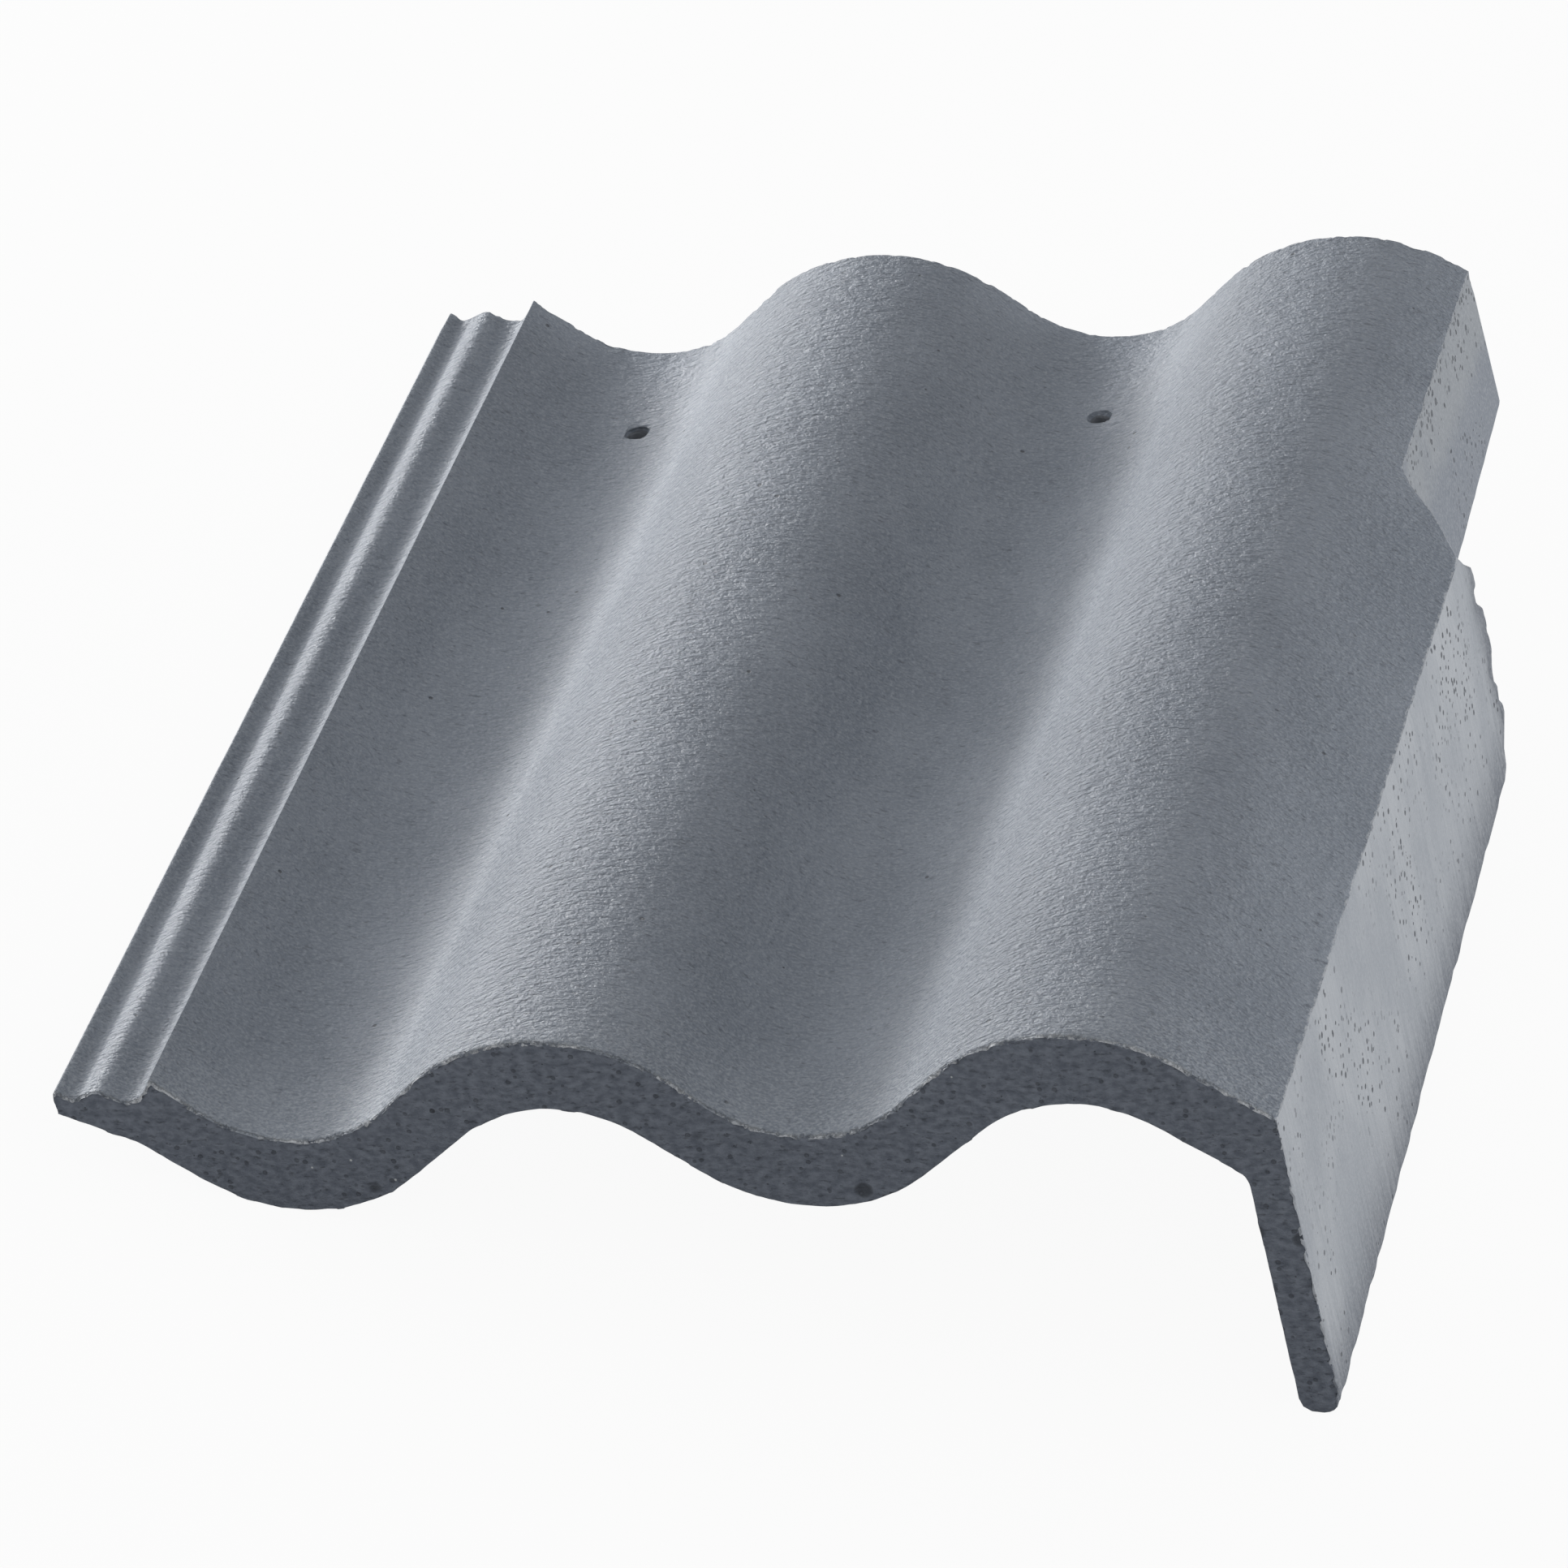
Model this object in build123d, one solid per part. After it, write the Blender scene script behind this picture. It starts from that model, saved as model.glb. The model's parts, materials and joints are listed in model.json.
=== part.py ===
"""A right-hand verge roof tile: one piece of concrete, pressed and cut to length.

Two rolls and two pans run from the nose to the head. The left edge is the water lock that the next
tile covers. The right edge turns down into a flap that closes the gable, and it steps in near the
head, so that the flap of the tile above can pass outside it.

The tile is drawn flat: X across it from the water lock to the flap, Y up the slope from the nose to
the head, Z up from the bottom of the pans. It is then laid down the way it rests on a level floor.
"""
from build123d import *
import math
import os

# Length and roll pattern
LENGTH = 420.0
ROLL_PITCH = 150.0
FIRST_PAN_X = 70.0
ROLL_HEIGHT = 33.0
FLANK_ANGLE = 41.5
CREST_RADIUS = 58.0
THICKNESS = 12.0

# Water lock: two grooves and a ridge beside a step up to the first pan's flank
LOCK_TOP = 17.7
LOCK_EDGE_THICKNESS = 7.8
LOCK_THICKNESS = 10.5
OUTER_GROOVE_START = 3.0
OUTER_GROOVE_WIDTH = 7.5
OUTER_GROOVE_DEPTH = 2.9
RIDGE_WIDTH = 3.4
INNER_GROOVE_WIDTH = 13.0
INNER_GROOVE_DEPTH = 3.3
GROOVE_SIDE = 2.0
STEP_TOP = 19.3
EDGE_ROUND = 1.6

# Verge: the last roll falls to a sharp corner, and the flap hangs from it
VERGE_X = 353.5
VERGE_ANGLE = 36.5
FLAP_THICKNESS = 12.5
FLAP_LEAN = 1.6
FLAP_DROP_NOSE = 97.0
FLAP_DROP_REAR = 80.0
FLAP_REAR_PAST_NOTCH = 13.0
FLAP_REAR_CORNER = 14.0
FLAP_FOOT_ROUND = 5.5
SHOULDER_DROP = 22.0
INNER_ROUND = 7.0

# Head: the deck narrows on a slant, and an inset wall takes over from the flap
NOTCH_LENGTH = 139.0
NOTCH_SLANT = 26.0
INSET = 20.0
INSET_WALL_THICKNESS = 12.0
INSET_WALL_LEAN = 3.5
INSET_DROP_HEAD = 33.0
INSET_DROP_FRONT = 43.0
INSET_FOOT_ROUND = 4.5

# Nose rib and weather bar under the deck
NOSE_THICKNESS_PAN = 24.7
NOSE_THICKNESS_CREST = 22.3
NOSE_FLANK_ANGLE = 38.0
NOSE_CREST_RADIUS = 40.0
NOSE_LOCK_DROP = 18.2
NOSE_LENGTH = 22.0
BAR_THICKNESS = 19.0
BAR_START = 54.0
BAR_LENGTH = 20.0
RIB_CHAMFER = 3.0
NOSE_EDGE_ROUND = 1.2

# Hanging nibs under the pans, and the nail holes in front of them, set out from the head
NIB_FACE_FROM_HEAD = 22.0
NIB_WIDTH = 36.0
NIB_DEPTH = 15.0
NIB_LAND = 8.0
NIB_BACK_SLOPE = 8.0
NIB_ROUND = 2.5
NAIL_FROM_HEAD = 48.0
NAIL_OFFSET = 2.5
NAIL_RADIUS = 2.4

# How closely the tile is laid down on its three feet
CONTACT_TOLERANCE = 0.02
CONTACT_ROUNDS = 8


class Wave:
    """Rolls and pans as tangent arcs and straights, at one level of the tile's thickness."""

    def __init__(self, flank_angle, height, crest_radius, pan_z):
        half_pitch = ROLL_PITCH / 2
        flank = math.radians(flank_angle)
        self.flank = flank_angle
        self.straight = height / math.tan(flank / 2) - half_pitch
        radii = (half_pitch - self.straight * math.cos(flank)) / math.sin(flank)
        self.crest_radius = crest_radius
        self.pan_radius = radii - crest_radius
        self.foot_x = FIRST_PAN_X - self.pan_radius * math.sin(flank)
        self.foot_z = pan_z + self.pan_radius * (1 - math.cos(flank))

    def first_flank_x(self, z):
        """Where the flank left of the first pan stands at height z."""
        return self.foot_x - (z - self.foot_z) / math.tan(math.radians(self.flank))

    def edges(self, start_z, end_x):
        """The wave's edges from the first flank at start_z to the verge at end_x."""
        chain = [Line((self.first_flank_x(start_z), start_z), (self.foot_x, self.foot_z))]
        pan = (self.pan_radius, 2 * self.flank)
        crest = (self.crest_radius, -2 * self.flank)
        for radius, turn in (pan, crest, pan):
            chain.append(JernArc(chain[-1] @ 1, chain[-1] % 1, radius, turn))
            chain.append(Line(chain[-1] @ 1, chain[-1] @ 1 + chain[-1] % 1 * self.straight))
        last_turn = -(self.flank + VERGE_ANGLE)
        chain.append(JernArc(chain[-1] @ 1, chain[-1] % 1, self.crest_radius, last_turn))
        run = (end_x - (chain[-1] @ 1).X) / math.cos(math.radians(VERGE_ANGLE))
        chain.append(Line(chain[-1] @ 1, chain[-1] @ 1 + chain[-1] % 1 * run))
        return chain


def level(depth):
    """The wave that runs parallel to the top surface, depth below it."""
    return Wave(FLANK_ANGLE, ROLL_HEIGHT, CREST_RADIUS - depth, -depth)


NOTCH_START_Y = LENGTH - NOTCH_LENGTH
NOTCH_END_Y = NOTCH_START_Y + NOTCH_SLANT
FLAP_REAR_Y = NOTCH_START_Y + FLAP_REAR_PAST_NOTCH
NIB_FACE_Y = LENGTH - NIB_FACE_FROM_HEAD
NAIL_Y = LENGTH - NAIL_FROM_HEAD
TOP = level(0)
UNDER = level(THICKNESS)
TOP_EDGES = TOP.edges(STEP_TOP, VERGE_X)
VERGE_SLOPE = math.tan(math.radians(VERGE_ANGLE))
VERGE_Z = (TOP_EDGES[-1] @ 1).Y
PANS = (FIRST_PAN_X, FIRST_PAN_X + ROLL_PITCH)


def verge_z(x, depth=0.0):
    """Height at x of the last roll's straight fall, depth below the top surface."""
    return VERGE_Z + (VERGE_X - x) * VERGE_SLOPE - depth / math.cos(math.radians(VERGE_ANGLE))


def joined(*points):
    """Straight edges from point to point."""
    return [Line(a, b) for a, b in zip(points, points[1:])]


def run_along(edges, start, end):
    """A closed (x, z) outline drawn out along the tile from y = start to y = end."""
    face = Plane.XZ.offset(-start) * make_face(edges)
    return extrude(face, amount=end - start, dir=(0, 1, 0))


def side_prism(*points):
    """A closed (y, z) outline drawn out across the tile."""
    return extrude(Plane.YZ * make_face(joined(*points, points[0])), amount=2 * VERGE_X)


def lock_outline():
    """The top of the water lock, from the tile's left edge to the top of the step."""
    ridge = OUTER_GROOVE_START + OUTER_GROOVE_WIDTH
    channel = ridge + RIDGE_WIDTH
    step = channel + INNER_GROOVE_WIDTH
    outer_floor = LOCK_TOP - OUTER_GROOVE_DEPTH
    inner_floor = LOCK_TOP - INNER_GROOVE_DEPTH
    return [
        (0, LOCK_TOP - LOCK_EDGE_THICKNESS),
        (0, LOCK_TOP - EDGE_ROUND),
        (EDGE_ROUND, LOCK_TOP),
        (OUTER_GROOVE_START, LOCK_TOP),
        (OUTER_GROOVE_START + GROOVE_SIDE, outer_floor),
        (ridge - GROOVE_SIDE, outer_floor),
        (ridge, LOCK_TOP),
        (channel, LOCK_TOP),
        (channel + GROOVE_SIDE, inner_floor),
        (step, inner_floor),
        (TOP.first_flank_x(STEP_TOP), STEP_TOP),
    ]


def make_deck():
    """The waved plate with its water lock, narrowed on a slant near the head."""
    lock = lock_outline()
    under_z = LOCK_TOP - LOCK_THICKNESS
    bottom = UNDER.edges(under_z, VERGE_X)
    side = Line(TOP_EDGES[-1] @ 1, bottom[-1] @ 1)
    heel = Line(lock[0], bottom[0] @ 0)
    deck = run_along([*joined(*lock), *TOP_EDGES, side, *bottom, heel], 0, LENGTH)
    notch = Polyline(
        (VERGE_X, NOTCH_START_Y),
        (VERGE_X - INSET, NOTCH_END_Y),
        (VERGE_X - INSET, LENGTH),
        (VERGE_X, LENGTH),
        close=True,
    )
    return deck - extrude(make_face(notch), amount=2 * ROLL_HEIGHT, both=True)


def on_chain(edge, chain):
    """Whether an edge of the tile stands over one of the chain's (x, z) edges."""
    middle = edge @ 0.5
    spots = [link @ 0.5 for link in chain]
    return any(math.hypot(middle.X - spot.X, middle.Z - spot.Y) < 0.01 for spot in spots)


def make_rib(wave, flank_z, start, end, chamfered_ends):
    """A cross rib from the middle of the deck down to the wave, with chamfered foot edges."""
    reach = VERGE_X - FLAP_THICKNESS / 2
    left_under = (0, LOCK_TOP - LOCK_EDGE_THICKNESS)
    left_middle = (0, LOCK_TOP - LOCK_EDGE_THICKNESS / 2)
    top = level(THICKNESS / 2).edges(left_middle[1], reach)
    bottom = wave.edges(flank_z, reach)
    outline = [
        Line(left_middle, top[0] @ 0),
        *top,
        Line(top[-1] @ 1, bottom[-1] @ 1),
        *bottom,
        *joined(bottom[0] @ 0, left_under, left_middle),
    ]
    rib = run_along(outline, start, end)
    for end_face in chamfered_ends:
        face = rib.faces().sort_by(Axis.Y)[end_face]
        foot = face.edges().filter_by(lambda edge: on_chain(edge, bottom))
        rib = chamfer(foot, RIB_CHAMFER)
    return rib


def make_nose():
    """The thick nose: a deep rib behind the front face, which rests on the tile below."""
    height = ROLL_HEIGHT - NOSE_THICKNESS_CREST + NOSE_THICKNESS_PAN
    wave = Wave(NOSE_FLANK_ANGLE, height, NOSE_CREST_RADIUS, -NOSE_THICKNESS_PAN)
    return make_rib(wave, LOCK_TOP - NOSE_LOCK_DROP, 0, NOSE_LENGTH, [-1])


def make_weather_bar():
    """A lower rib across the deck, some way behind the nose, that stops driven rain."""
    wave = level(BAR_THICKNESS)
    end = BAR_START + BAR_LENGTH
    return make_rib(wave, LOCK_TOP - LOCK_THICKNESS, BAR_START, end, [0, -1])


def wall_outline(outer_x, thickness, lean, drop):
    """A leaning wall across the tile: from the roll's surface at outer_x down to the drop."""
    top_z = verge_z(outer_x)
    inner_x = outer_x - thickness
    shift = (top_z + drop) * math.tan(math.radians(lean))
    return joined(
        (outer_x, top_z),
        (outer_x + shift, -drop),
        (inner_x + shift, -drop),
        (inner_x, verge_z(inner_x, THICKNESS / 2)),
        (outer_x, top_z),
    )


def inner_corner(outer_x, thickness, lean, start, end):
    """A hollow round where a wall's inner face meets the underside of the last roll."""
    inner_x = outer_x - thickness
    spread = math.tan(math.radians(lean))
    fall = VERGE_SLOPE * spread
    corner_z = (verge_z(inner_x, THICKNESS) - fall * verge_z(outer_x)) / (1 - fall)
    corner_x = inner_x + (verge_z(outer_x) - corner_z) * spread
    reach = 3 * INNER_ROUND
    on_deck = (corner_x - reach, corner_z + reach * VERGE_SLOPE)
    on_wall = (corner_x + reach * spread, corner_z - reach)
    bend = FilletPolyline(on_deck, (corner_x, corner_z), on_wall, radius=INNER_ROUND)
    arc = bend.edges().filter_by(GeomType.CIRCLE)[0]
    buried = (corner_x + INNER_ROUND / 3, corner_z + INNER_ROUND / 3)
    return run_along([arc, *joined(arc @ 1, buried, arc @ 0)], start, end)


def make_flap():
    """The flap under the verge: a sloping foot, a rounded rear corner and a cut-back shoulder."""
    deep = FLAP_DROP_NOSE + FLAP_THICKNESS
    plate = run_along(wall_outline(VERGE_X, FLAP_THICKNESS, FLAP_LEAN, deep), 0, LENGTH)
    flap = plate & side_prism(
        (0, ROLL_HEIGHT),
        (0, -FLAP_DROP_NOSE),
        (FLAP_REAR_Y, -FLAP_DROP_REAR),
        (FLAP_REAR_Y, VERGE_Z - SHOULDER_DROP),
        (NOTCH_START_Y, VERGE_Z),
        (NOTCH_START_Y, ROLL_HEIGHT),
    )
    rear_corner = flap.edges().filter_by(Axis.X, tolerance=5).group_by(Axis.Z)[1]
    flap = fillet(rear_corner, FLAP_REAR_CORNER)
    foot = flap.faces().sort_by(Axis.Z)[0]
    long_edges = foot.edges().sort_by(SortBy.LENGTH)[-2:]
    flap = fillet(long_edges, FLAP_FOOT_ROUND)
    return flap + inner_corner(VERGE_X, FLAP_THICKNESS, FLAP_LEAN, 0, NOTCH_START_Y)


def make_inset_wall():
    """The shorter wall near the head, set in so that the next flap passes outside it."""
    outer_x = VERGE_X - INSET
    deep = INSET_DROP_FRONT + INSET_WALL_THICKNESS
    plate = run_along(
        wall_outline(outer_x, INSET_WALL_THICKNESS, INSET_WALL_LEAN, deep),
        NOTCH_START_Y,
        LENGTH,
    )
    wall = plate & side_prism(
        (NOTCH_START_Y, ROLL_HEIGHT),
        (NOTCH_START_Y, -INSET_DROP_FRONT),
        (LENGTH, -INSET_DROP_HEAD),
        (LENGTH, ROLL_HEIGHT),
    )
    foot = wall.faces().sort_by(Axis.Z)[0]
    long_edges = foot.edges().sort_by(SortBy.LENGTH)[-2:]
    wall = fillet(long_edges, INSET_FOOT_ROUND)
    thickness = INSET_WALL_THICKNESS
    return wall + inner_corner(outer_x, thickness, INSET_WALL_LEAN, NOTCH_END_Y, LENGTH)


def make_web():
    """The slanted plate under the notch that joins the flap to the inset wall."""
    slant = Vector(-INSET, NOTCH_END_Y - NOTCH_START_Y).normalized()
    inward = Vector(-slant.Y, slant.X) * FLAP_THICKNESS
    start = Vector(VERGE_X, NOTCH_START_Y)
    end = Vector(VERGE_X - INSET, NOTCH_END_Y)
    plan = make_face(joined(start, end, end + inward, start + inward, start))
    plate = extrude(Pos(0, 0, -INSET_DROP_FRONT) * plan, amount=INSET_DROP_FRONT + ROLL_HEIGHT)
    reach = VERGE_X - 2 * INSET
    under_skin = joined(
        (VERGE_X, verge_z(VERGE_X, THICKNESS / 2)),
        (VERGE_X, -FLAP_DROP_NOSE),
        (reach, -FLAP_DROP_NOSE),
        (reach, verge_z(VERGE_X - INSET, THICKNESS / 2)),
        (VERGE_X - INSET, verge_z(VERGE_X - INSET, THICKNESS / 2)),
        (VERGE_X, verge_z(VERGE_X, THICKNESS / 2)),
    )
    return plate & run_along(under_skin, 0, LENGTH)


def make_nib(pan_x):
    """A hanging nib: a flat face towards the nose, a short land, and a sloping back."""
    root = -THICKNESS / 2
    tip = -(THICKNESS + NIB_DEPTH)
    back = NIB_FACE_Y + NIB_LAND
    profile = make_face(joined(
        (NIB_FACE_Y, root),
        (NIB_FACE_Y, tip),
        (back, tip),
        (back + NIB_BACK_SLOPE, root),
        (NIB_FACE_Y, root),
    ))
    nib = extrude(Plane.YZ.offset(pan_x) * profile, amount=NIB_WIDTH / 2, both=True)
    upright = nib.edges().filter_by(GeomType.LINE).filter_by(lambda e: abs((e % 0.5).Z) > 0.5)
    return fillet(upright, NIB_ROUND)


def make_nail_hole(pan_x):
    """The pin that forms a nail hole through the deck beside the pan's middle."""
    return Pos(pan_x + NAIL_OFFSET, NAIL_Y, 0) * Cylinder(NAIL_RADIUS, 4 * THICKNESS)


def make_tile():
    """The whole tile, drawn flat."""
    tile = make_deck() + make_nose() + make_weather_bar()
    for limb in (make_flap(), make_web(), make_inset_wall()):
        tile += limb
    for pan_x in PANS:
        tile += make_nib(pan_x)
        tile -= make_nail_hole(pan_x)
    front_face = tile.faces().sort_by(Axis.Y)[0]
    return fillet(front_face.edges(), NOSE_EDGE_ROUND)


def floor_under(tile):
    """The level floor that the tile lies on, as a plane in the frame it is drawn in.

    Three feet carry it: the flap's front corner, the nose under the first pan, and the first nib.
    Each is round or tilted, so its lowest point is looked for again as the floor turns to meet it.
    """
    points = tile.tessellate(CONTACT_TOLERANCE)[0]
    left = FIRST_PAN_X + ROLL_PITCH / 2
    feet = (
        [p for p in points if p.X > VERGE_X - FLAP_THICKNESS and p.Y < NOSE_LENGTH],
        [p for p in points if p.X < left and p.Y < NOSE_LENGTH],
        [p for p in points if p.X < left and p.Y > NIB_FACE_Y - NIB_DEPTH],
    )
    up = Vector(0, 0, 1)
    for _ in range(CONTACT_ROUNDS):
        flap, nose, nib = [min(foot, key=up.dot) for foot in feet]
        up = (flap - nose).cross(nib - nose).normalized()
    across = Vector(1, 0, 0) - up * up.X
    return Plane(origin=nose, x_dir=across, z_dir=up)


def lay_down(tile):
    """The move from the flat frame to rest: on the floor, with the box's bottom middle at zero."""
    level_floor = floor_under(tile).location.inverse()
    box = (level_floor * tile).bounding_box()
    middle = box.center()
    return Pos(-middle.X, -middle.Y, -box.min.Z) * level_floor


def show(name, place, point, direction):
    """Prints where a point and a direction of the flat frame come to lie at rest."""
    at = (place * Pos(point)).position
    to = (place * Pos(Vector(point) + Vector(direction))).position - at
    print(name, [round(v, 3) for v in at], [round(v, 5) for v in to])


if __name__ == "__main__":
    flat_tile = make_tile()
    place = lay_down(flat_tile)
    tile = place * flat_tile
    hole_middle = FIRST_PAN_X + NAIL_OFFSET + ROLL_PITCH / 2
    show("nail_holes", place, (hole_middle, NAIL_Y, 0), (0, 0, 1))
    for pan_x in PANS:
        show("nib_face", place, (pan_x, NIB_FACE_Y, -THICKNESS - NIB_DEPTH / 2), (0, -1, 0))
    show("flat_origin", place, (0, 0, 0), (1, 0, 0))
    print("volume", round(tile.volume), "box", tile.bounding_box())
    os.makedirs("parts", exist_ok=True)
    export_step(tile, "parts/verge_tile.step")
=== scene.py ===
# %% [markdown]
# # A right-hand verge tile of slate grey concrete
#
# The real tile is one casting: two rolls and two pans, a water lock along the left edge and a deep flap
# along the right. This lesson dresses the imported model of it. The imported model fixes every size, so the
# first cells read where it lies, and everything after them is built in the same metres.

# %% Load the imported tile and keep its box
import json
import math
import bmesh
import bpy
import numpy as np
from mathutils import Matrix, Quaternion, Vector
from mathutils.geometry import delaunay_2d_cdt

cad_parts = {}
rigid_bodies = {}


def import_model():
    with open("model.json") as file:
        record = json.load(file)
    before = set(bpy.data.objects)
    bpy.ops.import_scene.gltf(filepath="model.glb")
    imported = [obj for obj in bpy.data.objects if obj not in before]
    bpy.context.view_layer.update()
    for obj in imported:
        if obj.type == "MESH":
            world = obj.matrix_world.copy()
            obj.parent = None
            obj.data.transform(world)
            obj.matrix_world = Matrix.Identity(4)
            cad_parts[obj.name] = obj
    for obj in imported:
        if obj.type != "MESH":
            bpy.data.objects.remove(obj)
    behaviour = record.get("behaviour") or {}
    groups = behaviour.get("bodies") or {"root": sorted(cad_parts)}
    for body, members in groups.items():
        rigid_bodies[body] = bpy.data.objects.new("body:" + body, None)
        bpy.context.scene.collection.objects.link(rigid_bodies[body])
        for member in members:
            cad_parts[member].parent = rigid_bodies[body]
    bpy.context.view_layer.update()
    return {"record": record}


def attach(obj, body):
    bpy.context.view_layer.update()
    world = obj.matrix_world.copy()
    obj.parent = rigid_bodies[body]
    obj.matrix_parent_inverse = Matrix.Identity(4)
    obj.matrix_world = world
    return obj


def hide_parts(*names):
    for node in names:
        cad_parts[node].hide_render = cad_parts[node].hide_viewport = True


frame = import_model()

# %% [markdown]
# ## Camera
#
# The picture was taken with a long lens from the front right, a good way above the tile, and tipped a
# little. A long lens keeps the rolls nearly parallel. The camera is placed by a spot, a point to look at
# and a small roll, because those three can be compared with the picture one at a time.

# %% Camera
CAMERA_SPOT = Vector((0.40025, -2.10068, 1.55703))
CAMERA_AIM = Vector((-0.01496, -0.04686, 0.06))
CAMERA_ROLL = math.radians(4.118)
CAMERA_LENS = 203.48


def make_camera():
    """The camera that frames the tile as the picture does."""
    data = bpy.data.cameras.new("camera")
    data.lens = CAMERA_LENS
    camera = bpy.data.objects.new("camera", data)
    bpy.context.scene.collection.objects.link(camera)
    level = (CAMERA_AIM - CAMERA_SPOT).to_track_quat("-Z", "Y")
    camera.matrix_world = Matrix.LocRotScale(CAMERA_SPOT, level @ Quaternion((0, 0, 1), CAMERA_ROLL), None)
    return camera


bpy.context.scene.camera = make_camera()
print("camera distance", round((CAMERA_AIM - CAMERA_SPOT).length, 3), "m")

# %% [markdown]
# ## The flat frame
#
# A tile lying on a floor leans, here about 14 degrees, so its shape is awkward to write down in floor
# coordinates. It is easier flat: X across from the water lock to the flap, Y from the nose to the head,
# Z up from the bottom of the pans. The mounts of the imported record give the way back: the nail holes
# point along the flat Z, and the nibs' faces look along minus Y.

# %% Sizes of the tile, lying flat
MM = 0.001
LENGTH = 420 * MM
ROLL_PITCH = 150 * MM
FIRST_PAN_X = 70 * MM
ROLL_HEIGHT = 33 * MM
FLANK_ANGLE = 41.5
CREST_RADIUS = 58 * MM
THICKNESS = 12 * MM
LAST_CREST_X = FIRST_PAN_X + 1.5 * ROLL_PITCH
VERGE_X = 353.5 * MM
VERGE_ANGLE = 36.5
VERGE_SLOPE = math.tan(math.radians(VERGE_ANGLE))
NIB_FACE_Y = LENGTH - 22 * MM
NIB_DEPTH = 15 * MM
PANS = (FIRST_PAN_X, FIRST_PAN_X + ROLL_PITCH)

# %% From flat to lying on the floor
mounts = {mount["name"]: mount for mount in frame["record"]["mounts"]}


def flat_to_floor():
    """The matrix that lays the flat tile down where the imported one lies."""
    up = Vector(mounts["nail_holes"]["axis"]).normalized()
    along = -Vector(mounts["left_nib_face"]["axis"]).normalized()
    across = along.cross(up)
    turn = Matrix((across, along, up)).transposed()
    nib_middle = Vector((FIRST_PAN_X, NIB_FACE_Y, -THICKNESS - NIB_DEPTH / 2))
    move = Vector(mounts["left_nib_face"]["pos_m"]) - turn @ nib_middle
    return Matrix.Translation(move) @ turn.to_4x4()


PLACE = flat_to_floor()
print("flat corner lies at", [round(v, 5) for v in PLACE.translation])

# %% [markdown]
# ## Rolls and pans as one rule
#
# A roll and a pan are arcs that meet along straight flanks. Given the pitch, the height, the flank's
# angle and the crest's radius, all the rest follows, and a level deeper in the concrete is the same wave
# with a smaller crest and a larger pan. One class can therefore answer every question about height.


# %% The wave
class Wave:
    """Height of one level of the rolls and pans, at any place across the tile."""

    def __init__(self, flank_angle, height, crest_radius, pan_z):
        half = ROLL_PITCH / 2
        self.flank = math.radians(flank_angle)
        straight = height / math.tan(self.flank / 2) - half
        radii = (half - straight * math.cos(self.flank)) / math.sin(self.flank)
        self.crest_radius = crest_radius
        self.pan_radius = radii - crest_radius
        self.pan_z = pan_z
        self.crest_z = pan_z + height
        verge = math.radians(VERGE_ANGLE)
        self.fall_x = LAST_CREST_X + crest_radius * math.sin(verge)
        self.fall_z = self.crest_z - crest_radius * (1 - math.cos(verge))

    def z(self, x):
        """Height at x, or at each x of an array."""
        x = np.asarray(x, float)
        half = ROLL_PITCH / 2
        out = np.abs((x - FIRST_PAN_X + half) % ROLL_PITCH - half)
        out = np.where(x < FIRST_PAN_X, FIRST_PAN_X - x, out)
        pan_end = self.pan_radius * math.sin(self.flank)
        crest_start = half - self.crest_radius * math.sin(self.flank)
        pan_drop = np.sqrt(np.maximum(self.pan_radius**2 - out**2, 0))
        pan = self.pan_z + self.pan_radius - pan_drop
        foot_z = self.pan_z + self.pan_radius * (1 - math.cos(self.flank))
        flank = foot_z + (out - pan_end) * math.tan(self.flank)
        crest_drop = np.sqrt(np.maximum(self.crest_radius**2 - (half - out) ** 2, 0))
        crest = self.crest_z - self.crest_radius + crest_drop
        z = np.where(out <= pan_end, pan, np.where((out <= crest_start) | (x < FIRST_PAN_X), flank, crest))
        return np.where(x > self.fall_x, self.fall_z - (x - self.fall_x) * VERGE_SLOPE, z)

    def first_flank_x(self, z):
        """Where the flank left of the first pan stands at height z."""
        foot_x = FIRST_PAN_X - self.pan_radius * math.sin(self.flank)
        foot_z = self.pan_z + self.pan_radius * (1 - math.cos(self.flank))
        return foot_x - (z - foot_z) / math.tan(self.flank)


def level(depth):
    """The wave that runs parallel to the top surface, depth below it."""
    return Wave(FLANK_ANGLE, ROLL_HEIGHT, CREST_RADIUS - depth, -depth)


TOP = level(0)
VERGE_Z = float(TOP.z(VERGE_X))
print("pan radius", round(TOP.pan_radius / MM, 2), "mm; verge corner at", round(VERGE_Z / MM, 2), "mm")

# %% [markdown]
# ## The section, step by step
#
# A tile like this is pressed as an endless ribbon and cut, so any cut across it is nearly the same. The
# visual mesh copies that: a loop of points is worked out at each station along the tile, and loops next
# to each other are joined by faces. Each stretch of the loop keeps its number of points all the way, so
# the faces join up even where the flap ends and the shorter wall takes over.

# %% Small helpers for loops of points


def resample(path, count):
    """The path again, as count steps of equal length."""
    path = np.asarray(path, float)
    run = np.concatenate([[0], np.cumsum(np.hypot(*np.diff(path, axis=0).T))])
    steps = np.linspace(0, run[-1], count + 1)
    return np.stack([np.interp(steps, run, path[:, 0]), np.interp(steps, run, path[:, 1])], 1)


def bend(start, corner, end, count):
    """Points on a smooth curve that leaves start towards the corner and comes to end from it."""
    share = np.linspace(0, 1, count + 1)[:, None]
    return (1 - share) ** 2 * start + 2 * share * (1 - share) * corner + share**2 * end


def quarter(centre, radius, start, end, count):
    """Points on an arc from one angle to another, in degrees."""
    turn = np.radians(np.linspace(start, end, count + 1))
    return np.stack([centre[0] + radius * np.cos(turn), centre[1] + radius * np.sin(turn)], 1)


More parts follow.
